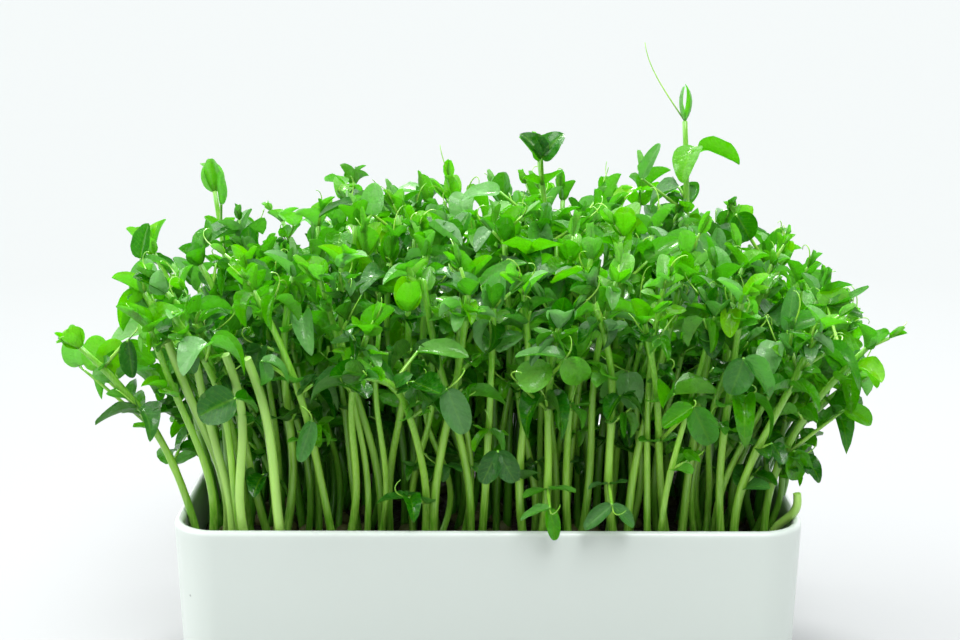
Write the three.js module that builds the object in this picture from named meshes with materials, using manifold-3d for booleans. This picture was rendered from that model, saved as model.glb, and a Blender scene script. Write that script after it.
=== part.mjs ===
// Pea shoot microgreens growing in a white rectangular tray.
//
// The frame: millimetres, +Z up, +X along the tray's long side, +Y towards its back.
// The origin is the middle of the tray's flat underside.
//
// The tray is one shell with drafted walls and rounded corners. It holds a block of growing
// medium, and the peas are pressed into pockets in its top. Each pea plant is one piece: the
// pea, its shoots, and the leaves on them. No two plants touch, and none touches the tray.

import * as THREE from "three";
import { mergeVertices } from "three/addons/utils/BufferGeometryUtils.js";
import Module from "manifold-3d";

const wasm = await Module();
wasm.setup();

// ---- Driving dimensions ----

const TRAY = {
  length: 200, // outside, at the rim
  width: 120,
  height: 60,
  wall: 3,
  floor: 4,
  corner: 15, // outside corner radius, seen from above
  draft: 1.8, // how much each wall leans in from the rim to the base
  foot: 1.6, // bevel round the underside
  lip: 0.8, // bevel on both edges of the rim
  cove: 4, // bevel where the walls meet the floor inside
};
const CORNER_STEPS = 5;
const GAP = 0.3; // air between pieces that rest against each other

const SOIL_BELOW_RIM = 14;
const SOIL_TOP = TRAY.height - SOIL_BELOW_RIM;
const SOIL_RISE = 1; // the medium is a little higher in the middle
const SOIL_SHOULDER = 5; // how far it slopes down to the walls

const PEA_RADIUS = 3.4;
const PEA_HEIGHT = SOIL_TOP + 1; // the middle of a pea
const POCKET_SIDES = 5;

const ROOTED_APART = 1.7; // how far each shoot of a pea starts from its middle
const STEM_RADIUS = 1.5; // at the base; the corners of a three-sided stem
const STEM_TAPER = 0.35;
const PETIOLE_RADIUS = 0.8;
const BLADE_THICKNESS = 1.4; // at the midrib
const CANOPY_HEIGHT = 97; // the medium to the tip of a shoot in the middle of the tray

// ---- The plants ----

// The front row. Each pea has its place, and each of its shoots how far its tip ends up to the
// right and to the back, its height, and how far up it the leaves stand, as shares. A cut shoot
// has lost its tip, and a nodding one bends over by so much to the right and to the back.
const FRONT_ROW = [
  { x: -91, y: -42, shoots: [
    { reach: [-31, -10], height: 70, leaves: [0.42, 0.66, 0.84] },
    { reach: [-13, -18], height: 78, leaves: [0.3, 0.62, 0.82] },
  ] },
  { x: -80, y: -47, shoots: [
    { reach: [-7, -5], height: 66, leaves: [], cut: true },
    { reach: [-20, -14], height: 84, leaves: [0.6, 0.8] },
  ] },
  { x: -68, y: -43, shoots: [
    { reach: [-26, -12], height: 88, leaves: [0.28, 0.63, 0.82] },
    { reach: [4, -6], height: 92, leaves: [0.58, 0.8] },
  ] },
  { x: -47, y: -46, shoots: [
    { reach: [-19, -14], height: 90, leaves: [0.62, 0.82] },
    { reach: [8, -20], height: 78, leaves: [0.42, 0.74] },
  ] },
  { x: -33, y: -41, shoots: [
    { reach: [-22, -8], height: 92, leaves: [0.62, 0.82] },
    { reach: [6, -20], height: 84, leaves: [0.6, 0.8] },
  ] },
  { x: -19, y: -47, shoots: [
    { reach: [-9, -14], height: 77, leaves: [0.24, 0.84], nod: [-17, -4] },
    { reach: [9, -18], height: 90, leaves: [0.6, 0.8] },
  ] },
  { x: -4, y: -43, shoots: [
    { reach: [-12, -12], height: 92, leaves: [0.58, 0.8] },
    { reach: [-3, -18], height: 84, leaves: [0.32, 0.62, 0.82] },
  ] },
  { x: 14, y: -47, shoots: [
    { reach: [-4, -10], height: 88, leaves: [0.6, 0.8] },
    { reach: [3, -20], height: 80, leaves: [0.64, 0.84] },
  ] },
  { x: 28, y: -43, shoots: [
    { reach: [0, -6], height: 70, leaves: [0.7], nod: [3, -3] },
    { reach: [8, -16], height: 92, leaves: [0.6, 0.8] },
  ] },
  { x: 43, y: -47, shoots: [
    { reach: [-9, -20], height: 88, leaves: [0.6, 0.8] },
    { reach: [12, -10], height: 92, leaves: [0.62, 0.82] },
  ] },
  { x: 60, y: -44, shoots: [
    { reach: [-19, -16], height: 82, leaves: [0.66, 0.84] },
    { reach: [6, -12], height: 91, leaves: [0.36, 0.64, 0.82] },
  ] },
  { x: 77, y: -47, shoots: [
    { reach: [2, -20], height: 88, leaves: [0.6, 0.8] },
    { reach: [20, -12], height: 78, leaves: [0.3, 0.62, 0.82] },
  ] },
  { x: 91, y: -41, shoots: [
    { reach: [29, -12], height: 70, leaves: [0.4, 0.64, 0.84] },
    { reach: [4, -6], height: 22, leaves: [], cut: true },
  ] },
];

// Three sprigs stand well above the rest. The tallest holds out a tendril, which ends so far to
// the right, to the back and up from the shoot's tip.
const TALL_SPRIGS = [
  { x: 74, y: 33, shoots: [
    { reach: [0, 8], height: 130, leaves: [0.62, 0.78, 0.9], tendril: [-18, 4, 22] },
    { reach: [14, 18], height: 90, leaves: [0.62, 0.82] },
  ] },
  { x: 24, y: 12, shoots: [
    { reach: [-3, 4], height: 119, leaves: [0.62, 0.8] },
    { reach: [9, -8], height: 100, leaves: [0.62, 0.8] },
  ] },
  { x: -84, y: 38, shoots: [
    { reach: [-12, 16], height: 103, leaves: [0.6, 0.8] },
    { reach: [-22, 6], height: 82, leaves: [0.56, 0.78] },
  ] },
];

// The rest stand in rows, every other row shifted by half a step.
const ROWS = [-23, -3, 18, 40];
const ROW_STEP = 31;
const ROW_HALF_LENGTH = 89;
const PLACE_JITTER = 3;
const KEEP_APART = 15; // a row plant this close to a sprig is left out
const SIDE_REACH = 20; // how far the outermost shoots lean out over the ends
const BACK_REACH = 26;
const REACH_JITTER = 8;
const SHOULDER_DROP = 18; // how much lower the canopy is at the ends
const HEIGHT_JITTER = 6;

// ---- Colours ----

const whitePlastic = new THREE.MeshStandardMaterial({ color: "#e9efeb", roughness: 0.22 });
const darkMedium = new THREE.MeshStandardMaterial({ color: "#2b2118", roughness: 0.95 });
const peaGreen = new THREE.MeshStandardMaterial({ color: "#4f9a22", roughness: 0.45 });

// ---- Small tools ----

const UP = new THREE.Vector3(0, 0, 1);
const vec = (x, y, z) => new THREE.Vector3(x, y, z);

// The seeded generator that every free choice comes from.
let state = 71284;
function draw(low, high) {
  state = (state * 1664525 + 1013904223) % 4294967296;
  return low + ((high - low) * state) / 4294967296;
}

function polyhedron(points, faces) {
  const geometry = new THREE.BufferGeometry().setFromPoints(points);
  geometry.setIndex(faces.flat());
  return geometry;
}

function solidOf(geometry) {
  return new wasm.Manifold(
    new wasm.Mesh({
      numProp: 3,
      vertProperties: geometry.getAttribute("position").array,
      triVerts: new Uint32Array(geometry.index.array),
    }),
  );
}

// The same for a three.js shape, whose corners are doubled for its normals.
function solidOfShape(geometry) {
  geometry.deleteAttribute("normal");
  geometry.deleteAttribute("uv");
  return solidOf(mergeVertices(geometry, 0.001));
}

function geometryOf(solid) {
  const mesh = solid.getMesh();
  const geometry = new THREE.BufferGeometry();
  geometry.setAttribute("position", new THREE.BufferAttribute(mesh.vertProperties, 3));
  geometry.setIndex(new THREE.BufferAttribute(mesh.triVerts, 1));
  return geometry;
}

// A closed skin over a stack of rings of equal count, each anticlockwise seen from the last.
// Both ends are closed by a fan from the first point of their ring.
function loft(rings) {
  const count = rings[0].length;
  const last = (rings.length - 1) * count;
  const faces = [];
  for (let i = 2; i < count; i++) faces.push([0, i, i - 1], [last, last + i - 1, last + i]);
  for (let start = 0; start < last; start += count) {
    for (let i = 0; i < count; i++) {
      const a = start + i;
      const b = start + ((i + 1) % count);
      faces.push([a, b, b + count], [a, b + count, a + count]);
    }
  }
  return polyhedron(rings.flat(), faces);
}

// ---- Tray ----

// A rounded rectangle that stands in from the rim's outside edge by inset.
function trayRing(inset, z) {
  const radius = Math.max(TRAY.corner - inset, 1);
  const cx = TRAY.length / 2 - inset - radius;
  const cy = TRAY.width / 2 - inset - radius;
  const ring = [];
  const corners = [[1, 1], [-1, 1], [-1, -1], [1, -1]];
  corners.forEach(([sx, sy], quarter) => {
    for (let i = 0; i <= CORNER_STEPS; i++) {
      const angle = ((quarter + i / CORNER_STEPS) * Math.PI) / 2;
      ring.push(vec(sx * cx + radius * Math.cos(angle), sy * cy + radius * Math.sin(angle), z));
    }
  });
  return ring;
}

// How far the wall has leaned in at height z.
const draftAt = (z) => TRAY.draft * (1 - z / TRAY.height);

function trayGeometry() {
  const { height, wall, floor, foot, lip, cove } = TRAY;
  return loft([
    trayRing(draftAt(0) + foot, 0),
    trayRing(draftAt(foot), foot),
    trayRing(draftAt(height - lip), height - lip),
    trayRing(lip, height),
    trayRing(wall - lip, height),
    trayRing(wall + draftAt(height - lip), height - lip),
    trayRing(wall + draftAt(floor + cove), floor + cove),
    trayRing(wall + draftAt(floor) + cove, floor),
  ]);
}

// ---- Growing medium and peas ----

function soilGeometry(plants) {
  const { wall, floor, cove } = TRAY;
  const inset = (z) => wall + draftAt(z) + 2 * GAP;
  const block = solidOf(
    loft([
      trayRing(inset(floor) + cove, floor + GAP),
      trayRing(inset(floor + cove), floor + cove + GAP),
      trayRing(inset(SOIL_TOP), SOIL_TOP - 1),
      trayRing(inset(SOIL_TOP) + SOIL_SHOULDER, SOIL_TOP),
      trayRing(TRAY.width / 4, SOIL_TOP + SOIL_RISE),
    ]),
  );
  return geometryOf(plants.reduce((soil, plant) => soil.subtract(pocketSolid(plant)), block));
}

function pocketSolid(plant) {
  const radius = (PEA_RADIUS + 2 * GAP) / Math.cos(Math.PI / POCKET_SIDES);
  const depth = 2 * (PEA_RADIUS + GAP);
  const pocket = new THREE.CylinderGeometry(radius, radius, depth, POCKET_SIDES);
  pocket.rotateX(Math.PI / 2).translate(plant.x, plant.y, PEA_HEIGHT);
  return solidOfShape(pocket);
}

function peaSolid(plant) {
  const pea = new THREE.IcosahedronGeometry(PEA_RADIUS, 0);
  return solidOfShape(pea.translate(plant.x, plant.y, PEA_HEIGHT));
}

// ---- Clearance ----

// Every stem, petiole and blade is stood for by balls. A new one is kept only where its balls
// are clear of the tray and of all the others, apart from those of the piece it grows from.
const STEM_BALL = 2;
const BLADE_BALL = 1.6;
const RIM_CLEARANCE = 2.5;
const balls = [];

function isClear(points, radius, origin) {
  return points.every((p) =>
    balls.every(
      (ball) =>
        ball.owner === origin || p.distanceToSquared(ball.point) >= (radius + ball.radius) ** 2,
    ),
  );
}

function occupy(points, radius, owner) {
  for (const point of points) balls.push({ point, radius, owner });
}

// Clear of the tray: above its rim, or out beyond it and above its base, or well inside it.
function missesTray(points) {
  return points.every((p) => {
    const outX = Math.abs(p.x) - TRAY.length / 2;
    const outY = Math.abs(p.y) - TRAY.width / 2;
    const inside = outX < -TRAY.wall - RIM_CLEARANCE && outY < -TRAY.wall - RIM_CLEARANCE;
    const beyond = outX > RIM_CLEARANCE || outY > RIM_CLEARANCE;
    return p.z > TRAY.height + RIM_CLEARANCE || beyond || (inside && p.z > PEA_HEIGHT + 3);
  });
}

// ---- Stems ----

// A point on a shoot, at a share t of its height. It leaves its pea, leans as a square, sways
// once between its ends, and nods over at the tip.
function stemPoint(shoot, t) {
  const spread = 1 - (1 - t) ** 4;
  const sway = Math.sin(2 * Math.PI * t);
  const nod = t ** 6;
  const droop = 0.5 * Math.hypot(shoot.nod[0], shoot.nod[1]) * nod;
  return vec(
    shoot.x + shoot.foot[0] * spread + shoot.lean[0] * t * t + shoot.sway[0] * sway + shoot.nod[0] * nod,
    shoot.y + shoot.foot[1] * spread + shoot.lean[1] * t * t + shoot.sway[1] * sway + shoot.nod[1] * nod,
    PEA_HEIGHT + shoot.height * t - droop,
  );
}

function stemTangent(shoot, t) {
  const ahead = stemPoint(shoot, Math.min(t + 0.02, 1));
  return ahead.sub(stemPoint(shoot, t - 0.02)).normalize();
}

const STEM_BALLS = 40;
function stemBalls(shoot) {
  const points = [];
  for (let i = 2; i <= STEM_BALLS; i++) points.push(stemPoint(shoot, i / STEM_BALLS));
  return points;
}

// A three-sided tube along the shoot, with a ring at each leaf so that petioles meet it.
const STEM_STEPS = [0, 0.25, 0.5, 1];
function stemSolid(shoot) {
  const steps = new Set([...STEM_STEPS, ...shoot.grown.map((leaf) => leaf.t)]);
  const rings = [...steps].sort((a, b) => a - b).map((t) => {
    const middle = stemPoint(shoot, t);
    const radius = STEM_RADIUS * (1 - STEM_TAPER * t);
    return [0, 1, 2].map((i) => {
      const angle = shoot.turn + (i / 3) * 2 * Math.PI;
      return middle.clone().add(vec(radius * Math.cos(angle), radius * Math.sin(angle), 0));
    });
  });
  return solidOf(loft(rings));
}

// ---- Leaves ----

// A point of a blade: u runs from its base to its tip and v from edge to edge. The halves fold
// up along the midrib, and the blade arches down towards its tip.
const halfWidth = (u) => Math.sin(Math.PI * u ** 0.8) ** 0.75 / 2;
function bladePoint(blade, u, v) {
  const out = v * blade.width * halfWidth(u);
  const bend = blade.arch * u;
  return blade.base
    .clone()
    .addScaledVector(blade.along, blade.length * u * (1 - (bend * bend) / 6))
    .addScaledVector(blade.across, out * Math.sqrt(1 - blade.fold ** 2))
    .addScaledVector(blade.normal, Math.abs(out) * blade.fold - (blade.length * u * bend) / 2);
}

// Points over a blade for the clearance test, a few millimetres apart.
const BALL_ROWS = [0.15, 0.36, 0.57, 0.78, 1];
const BALL_COLUMNS = [-0.9, -0.3, 0.3, 0.9];
function bladeBalls(blade) {
  return BALL_ROWS.flatMap((u) => BALL_COLUMNS.map((v) => bladePoint(blade, u, v)));
}

// A closed blade with a few points round its edge, and one on each face at the midrib.
const GROWN_EDGE = [[0, 0], [0.3, 1], [0.7, 1], [1, 0], [0.7, -1], [0.3, -1]];
const YOUNG_EDGE = [[0, 0], [0.45, 1], [1, 0], [0.45, -1]];
function bladeSolid(blade, edge) {
  const half = blade.normal.clone().multiplyScalar(BLADE_THICKNESS / 2);
  const middle = bladePoint(blade, 0.5, 0);
  const top = edge.length;
  const points = edge.map(([u, v]) => bladePoint(blade, u, v));
  points.push(middle.clone().add(half), middle.clone().sub(half));
  const faces = [];
  for (let i = 0; i < top; i++) {
    const next = (i + 1) % top;
    faces.push([top, next, i], [top + 1, i, next]);
  }
  return solidOf(polyhedron(points, faces));
}

function makeBlade(base, along, facing, size) {
  const normal = facing.clone().addScaledVector(along, -facing.dot(along)).normalize();
  const across = normal.clone().cross(along);
  return { base, along, normal, across, ...size };
}

// A thin three-sided rod through a line of points, which all lie about the same way.
function rodSolid(points, radius) {
  const way = points.at(-1).clone().sub(points[0]).normalize();
  const side = way.clone().cross(UP).normalize();
  const lift = way.clone().cross(side);
  const rings = points.map((middle) =>
    [0, 1, 2].map((i) => {
      const angle = (i / 3) * 2 * Math.PI;
      return middle
        .clone()
        .addScaledVector(side, radius * Math.cos(angle))
        .addScaledVector(lift, radius * Math.sin(angle));
    }),
  );
  return solidOf(loft(rings));
}

function petioleSolid(from, to) {
  const end = to.clone().addScaledVector(to.clone().sub(from).normalize(), PETIOLE_RADIUS);
  return rodSolid([from, end], PETIOLE_RADIUS);
}

// A tendril rises from the tip and bends over to its end.
const TENDRIL_STEPS = 4;
function tendrilSolid(shoot) {
  const tip = stemPoint(shoot, 1);
  const [dx, dy, dz] = shoot.tendril;
  const above = tip.clone().add(vec(0.1 * dx, 0.1 * dy, 0.8 * dz));
  const end = tip.clone().add(vec(dx, dy, dz));
  tip.z -= PETIOLE_RADIUS;
  const curve = new THREE.QuadraticBezierCurve3(tip, above, end);
  return rodSolid(curve.getPoints(TENDRIL_STEPS), PETIOLE_RADIUS);
}

// One try at a leaf: a petiole out of the stem, and a pair of leaflets at its end.
function tryLeaf(shoot, t, heading, scale) {
  const from = stemPoint(shoot, t);
  const turn = heading + draw(-0.9, 0.9);
  const rise = draw(0.35, 1.1);
  const outward = vec(Math.cos(turn), Math.sin(turn), rise).normalize();
  const to = from.clone().addScaledVector(outward, scale * draw(6, 11));
  const sideways = UP.clone().cross(outward).normalize();
  const facing = vec(outward.x * draw(-0.5, 0.2), outward.y * draw(-0.5, 0.2), 1).normalize();
  const size = {
    length: scale * draw(14, 18.5),
    width: scale * draw(8.5, 11),
    fold: draw(0.15, 0.5),
    arch: draw(0.3, 0.9),
  };
  const level = vec(outward.x, outward.y, draw(-0.5, 0.35));
  const spread = draw(0.9, 1.5);
  const blades = [-1, 1].map((side) => {
    const base = to.clone().addScaledVector(sideways, side * 0.3);
    const along = level.clone().addScaledVector(sideways, side * spread).normalize();
    return makeBlade(base, along, facing, size);
  });
  return { t, from, to, blades };
}

// A young pair at the tip of a shoot, still folded, and curved in towards each other.
function tryTip(shoot, scale) {
  const tip = stemPoint(shoot, 1);
  const way = stemTangent(shoot, 1);
  const turn = draw(0, 2 * Math.PI);
  const sideways = vec(Math.cos(turn), Math.sin(turn), 0);
  const size = {
    length: scale * draw(9, 13),
    width: scale * draw(7, 9),
    fold: draw(0.1, 0.3),
    arch: draw(-0.6, -0.3),
  };
  const spread = draw(0.45, 0.75);
  const blades = [-1, 1].map((side) => {
    const base = tip.clone().addScaledVector(way, -0.5).addScaledVector(sideways, side * 0.3);
    const along = way.clone().addScaledVector(sideways, side * spread).normalize();
    const facing = sideways.clone().multiplyScalar(-side).addScaledVector(UP, 0.4);
    return makeBlade(base, along, facing, size);
  });
  return { t: 1, from: tip, to: tip, blades };
}

// Each further try at a leaf is a little smaller.
const TRIES = 12;
const SHRINK = 0.035;
const PETIOLE_BALLS = [0.4, 0.7, 1];
function growLeaf(shoot, attempt, owner) {
  for (let i = 0; i < TRIES; i++) {
    const leaf = attempt(1 - SHRINK * i);
    const points = leaf.blades.flatMap(bladeBalls);
    points.push(...PETIOLE_BALLS.map((share) => leaf.from.clone().lerp(leaf.to, share)));
    if (missesTray(points) && isClear(points, BLADE_BALL, shoot.owner)) {
      occupy(points, BLADE_BALL, owner);
      shoot.grown.push(leaf);
      return;
    }
  }
}

// ---- Growing all the plants ----

function rowPlants() {
  const plants = [];
  ROWS.forEach((rowY, row) => {
    const shift = row % 2 === 0 ? 0 : ROW_STEP / 2;
    for (let rowX = -ROW_HALF_LENGTH + shift; rowX <= ROW_HALF_LENGTH; rowX += ROW_STEP) {
      const x = rowX + draw(-PLACE_JITTER, PLACE_JITTER);
      const y = rowY + draw(-PLACE_JITTER, PLACE_JITTER);
      const near = TALL_SPRIGS.some((sprig) => Math.hypot(sprig.x - x, sprig.y - y) < KEEP_APART);
      const shoots = [0, 1].map(() => rowShoot(x, y));
      if (!near) plants.push({ x, y, shoots });
    }
  });
  return plants;
}

// Shoots lean out over the nearest edges, and those at the ends are shorter.
function rowShoot(x, y) {
  const end = x / ROW_HALF_LENGTH;
  return {
    reach: [
      SIDE_REACH * end ** 3 + draw(-REACH_JITTER, REACH_JITTER),
      BACK_REACH * (y / ROWS.at(-1)) ** 3 + draw(-REACH_JITTER, REACH_JITTER),
    ],
    height: CANOPY_HEIGHT - SHOULDER_DROP * end ** 4 + draw(-HEIGHT_JITTER, HEIGHT_JITTER),
    leaves: [draw(0.5, 0.64), draw(0.74, 0.84)],
  };
}

// Settle how a shoot leaves its pea and where it leans, give or take so much.
function settleStem(plant, shoot, side, give) {
  const heading = side + draw(-0.6, 0.6);
  const foot = draw(1, 3);
  Object.assign(shoot, {
    lean: [shoot.reach[0] + draw(-give, give), shoot.reach[1] + draw(-give, give)],
    x: plant.x + Math.cos(heading) * ROOTED_APART,
    y: plant.y + Math.sin(heading) * ROOTED_APART,
    foot: [Math.cos(heading) * foot, Math.sin(heading) * foot],
    sway: [draw(-2, 2), draw(-2, 2)],
    nod: shoot.nod ?? [0, 0],
    turn: draw(0, 2 * Math.PI),
    grown: [],
  });
}

const STEM_TRIES = 80;
const GIVE = 0.25; // how much more each further try may lean another way
const PARTED = 0.5; // the share of its height from which a shoot stands apart from its twin
const TIP_ROOM = 5; // how much more room a tip keeps than a foot
function growPlants() {
  const plants = [...FRONT_ROW, ...TALL_SPRIGS, ...rowPlants()];
  plants.forEach((plant, p) => {
    plant.shoots.forEach((shoot, s) => {
      shoot.owner = `${p}.${s}`;
      for (let i = 0; i < STEM_TRIES; i++) {
        settleStem(plant, shoot, s === 0 ? Math.PI : 0, i * GIVE);
        const clear = stemBalls(shoot).every((point, step) => {
          const t = (step + 2) / STEM_BALLS;
          const apart = 2 * STEM_BALL + TIP_ROOM * t ** 4;
          return balls.every(
            (ball) =>
              (t < PARTED && ball.owner.startsWith(`${p}.`)) ||
              point.distanceTo(ball.point) > apart,
          );
        });
        if (clear) break;
        if (i === STEM_TRIES - 1) throw new Error(`no room for the stem ${shoot.owner}`);
      }
      occupy(stemBalls(shoot), STEM_BALL, shoot.owner);
    });
  });
  const shoots = plants.flatMap((plant) => plant.shoots);
  for (const shoot of shoots.filter((shoot) => !shoot.cut)) {
    growLeaf(shoot, (scale) => tryTip(shoot, scale), `${shoot.owner}.tip`);
  }
  for (const shoot of shoots) {
    const first = draw(0, 2 * Math.PI);
    [...shoot.leaves].reverse().forEach((t, k) => {
      const heading = first + k * Math.PI;
      growLeaf(shoot, (scale) => tryLeaf(shoot, t, heading, scale), `${shoot.owner}.${k}`);
    });
  }
  return plants;
}

function plantGeometry(plant) {
  let solid = peaSolid(plant);
  for (const shoot of plant.shoots) {
    solid = solid.add(stemSolid(shoot));
    if (shoot.tendril) solid = solid.add(tendrilSolid(shoot));
    for (const leaf of shoot.grown) {
      if (leaf.t < 1) solid = solid.add(petioleSolid(leaf.from, leaf.to));
      const edge = leaf.t < 1 ? GROWN_EDGE : YOUNG_EDGE;
      for (const blade of leaf.blades) solid = solid.add(bladeSolid(blade, edge));
    }
  }
  return geometryOf(withoutHollows(solid));
}

// Where blades close off a hollow between them, it is filled: only the outer skin is kept.
function withoutHollows(solid) {
  const skins = solid.decompose();
  return skins.reduce((outer, skin) => (skin.volume() > outer.volume() ? skin : outer));
}

// ---- The whole object ----

const plants = growPlants();
const group = new THREE.Group();
const tray = new THREE.Mesh(trayGeometry(), whitePlastic);
tray.name = "tray";
const soil = new THREE.Mesh(soilGeometry(plants), darkMedium);
soil.name = "growing_medium";
group.add(tray, soil);
plants.forEach((plant, i) => {
  const mesh = new THREE.Mesh(plantGeometry(plant), peaGreen);
  mesh.name = `pea_plant_${String(i + 1).padStart(2, "0")}`;
  group.add(mesh);
});

export default group;
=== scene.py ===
"""Pea shoot microgreens in a white rectangular tray, dressed piece by piece on its solid model.

Lengths in the sections are in millimetres and become metres where a mesh is made. The frame is
the solid model's own: +X along the tray, +Y towards its back, +Z up from its flat underside.
"""

import math

import bpy
import numpy as np
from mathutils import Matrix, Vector, noise


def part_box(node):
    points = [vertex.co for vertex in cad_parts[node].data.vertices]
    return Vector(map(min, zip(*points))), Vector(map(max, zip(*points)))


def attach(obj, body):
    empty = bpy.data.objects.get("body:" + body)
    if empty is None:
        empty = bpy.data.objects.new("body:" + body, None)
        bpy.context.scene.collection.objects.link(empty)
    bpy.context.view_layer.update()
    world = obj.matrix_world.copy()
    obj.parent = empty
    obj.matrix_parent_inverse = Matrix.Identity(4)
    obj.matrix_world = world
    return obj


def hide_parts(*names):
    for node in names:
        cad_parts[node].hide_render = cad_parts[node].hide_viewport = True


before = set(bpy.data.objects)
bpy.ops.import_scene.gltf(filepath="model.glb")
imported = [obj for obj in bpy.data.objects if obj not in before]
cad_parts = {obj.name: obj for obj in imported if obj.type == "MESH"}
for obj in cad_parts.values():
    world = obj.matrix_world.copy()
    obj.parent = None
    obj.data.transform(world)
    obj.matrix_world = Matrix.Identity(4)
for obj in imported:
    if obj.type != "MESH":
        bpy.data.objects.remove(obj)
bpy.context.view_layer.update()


# ---------------------------------------------------------------------------------------------
# Studio
# A wide matt white table that runs out of sight, with a white backdrop and ceiling panel. A
# softbox above and behind shines through the leaves, and three broader lights fill in from in
# front and from the left.

def linear(colour):
    """An sRGB hex colour as the linear RGBA that a shader takes."""
    channels = [int(colour[i:i + 2], 16) / 255 for i in (1, 3, 5)]
    low = [c / 12.92 for c in channels]
    high = [((c + 0.055) / 1.055) ** 2.4 for c in channels]
    return [h if c > 0.04045 else s for c, s, h in zip(channels, low, high)] + [1.0]


def add_node(tree, kind, values=None, links=None, **properties):
    """Adds one node, with the values of its sockets, the links into them and its own settings."""
    made = tree.nodes.new(kind)
    for name, value in properties.items():
        setattr(made, name, value)
    for socket, value in (values or {}).items():
        made.inputs[socket].default_value = value
    for socket, (source, output) in (links or {}).items():
        tree.links.new(source.outputs[output], made.inputs[socket])
    return made


MIX_A, MIX_B, MIX_RESULT = 6, 7, 2  # the colour sockets of a Mix node, which share their names
table_paint = bpy.data.materials.new("matt white table paint")
table_paint.use_nodes = True
tree = table_paint.node_tree
paint = tree.nodes["Principled BSDF"]
paint.inputs["Roughness"].default_value = 1.0
paint.inputs["Specular IOR Level"].default_value = 0.0
# The paint is painted lighter around the tray than farther off: painted light that lifts the shade
# which the tray and the leaves cast on the table.
place = add_node(tree, "ShaderNodeTexCoord")
distance = add_node(tree, "ShaderNodeVectorMath", {}, {0: (place, "Object")}, operation="LENGTH")
painted_fill_share = add_node(
    tree, "ShaderNodeMapRange", {"From Min": 0.15, "From Max": 0.7}, {"Value": (distance, "Value")}
)
painted_fill_colour = add_node(
    tree, "ShaderNodeMix", {MIX_A: linear("#989999"), MIX_B: linear("#919392")},
    {"Factor": (painted_fill_share, "Result")}, data_type="RGBA",
)
tree.links.new(painted_fill_colour.outputs[MIX_RESULT], paint.inputs["Base Color"])

TABLE_SIDE = 24.0  # metres, so that its far edge stays out of the picture
table_mesh = bpy.data.meshes.new("table")
TABLE_CORNERS = ((-1, -1), (1, -1), (1, 1), (-1, 1))
table_points = [(x * TABLE_SIDE / 2, y * TABLE_SIDE / 2, 0) for x, y in TABLE_CORNERS]
table_mesh.from_pydata(table_points, [], [(0, 1, 2, 3)])
table_mesh.materials.append(table_paint)
table = bpy.data.objects.new("table", table_mesh)
bpy.context.scene.collection.objects.link(table)

sky = bpy.data.worlds.new("studio sky")
sky.use_nodes = True
tree = sky.node_tree
direction = add_node(tree, "ShaderNodeTexCoord")
split = add_node(tree, "ShaderNodeSeparateXYZ", {}, {"Vector": (direction, "Generated")})
# A broad white ceiling panel hangs overhead and a white backdrop stands behind the tray. The
# room in front and to the sides is dim, which leaves the depths between the stems dark.
backdrop = add_node(
    tree, "ShaderNodeMapRange",
    {"From Min": 0.0, "From Max": 0.8, "To Min": 0.06, "To Max": 2.1},
    {"Value": (split, "Y")}, interpolation_type="SMOOTHSTEP",
)
panel = add_node(
    tree, "ShaderNodeMapRange",
    {"From Min": 0.4, "From Max": 0.85, "To Min": 0.0, "To Max": 1.7},
    {"Value": (split, "Z")}, interpolation_type="SMOOTHSTEP",
)
both = add_node(
    tree, "ShaderNodeMath", {}, {0: (backdrop, "Result"), 1: (panel, "Result")}, operation="ADD"
)
tree.nodes["Background"].inputs["Color"].default_value = linear("#fafcff")
tree.links.new(both.outputs["Value"], tree.nodes["Background"].inputs["Strength"])
bpy.context.scene.world = sky


def soft_light(name, direction, strength, spread, colour):
    """A broad even light that shines along a direction, spread over so many degrees."""
    lamp = bpy.data.lights.new(name, "SUN")
    lamp.energy = strength
    lamp.angle = math.radians(spread)
    lamp.color = linear(colour)[:3]
    made = bpy.data.objects.new(name, lamp)
    made.rotation_euler = Vector(direction).to_track_quat("-Z", "Y").to_euler()
    bpy.context.scene.collection.objects.link(made)


soft_light("softbox above and behind", (0.05, -0.7, -1.0), 3.2, 16, "#ffffff")
soft_light("softbox in front", (-0.3, 0.8, -1.3), 1.9, 28, "#fbfdff")
soft_light("reflector at the left", (1.0, 0.1, -0.6), 2.2, 60, "#ffffff")
soft_light("white wall in front", (0.0, 1.0, -0.3), 0.45, 50, "#fffff8")

# The camera stands a little above the leaves and looks down on them.
CAMERA_PLACE = (0, -0.529, 0.2361)  # metres
CAMERA_TILT = math.radians(13)  # below the horizon
CAMERA_TURN = math.radians(0.29)  # to the left
lens = bpy.data.cameras.new("camera")
lens.lens = 60
lens.sensor_width = 36
lens.clip_start = 0.02
camera = bpy.data.objects.new("camera", lens)
camera.location = CAMERA_PLACE
camera.rotation_euler = (math.pi / 2 - CAMERA_TILT, 0, CAMERA_TURN)
bpy.context.scene.collection.objects.link(camera)
bpy.context.scene.camera = camera
bpy.context.scene.view_settings.view_transform = "Standard"


# ---------------------------------------------------------------------------------------------
# Tray
# One injection moulding in glossy white plastic, 3 mm thick: drafted walls, rounded corners, a
# rim rolled over smoothly and a bevelled foot. The mould leaves the gloss slightly uneven.

MM = 0.001
tray_low, tray_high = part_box("tray")
TRAY_LENGTH = round((tray_high.x - tray_low.x) / MM, 3)
TRAY_WIDTH = round((tray_high.y - tray_low.y) / MM, 3)
TRAY_HEIGHT = round(tray_high.z / MM, 3)
TRAY_WALL = 3
TRAY_FLOOR = 4
TRAY_CORNER = 15
TRAY_DRAFT = 1.8
TRAY_FOOT = 1.6
TRAY_COVE = 4
CORNER_STEPS = 14


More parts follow.
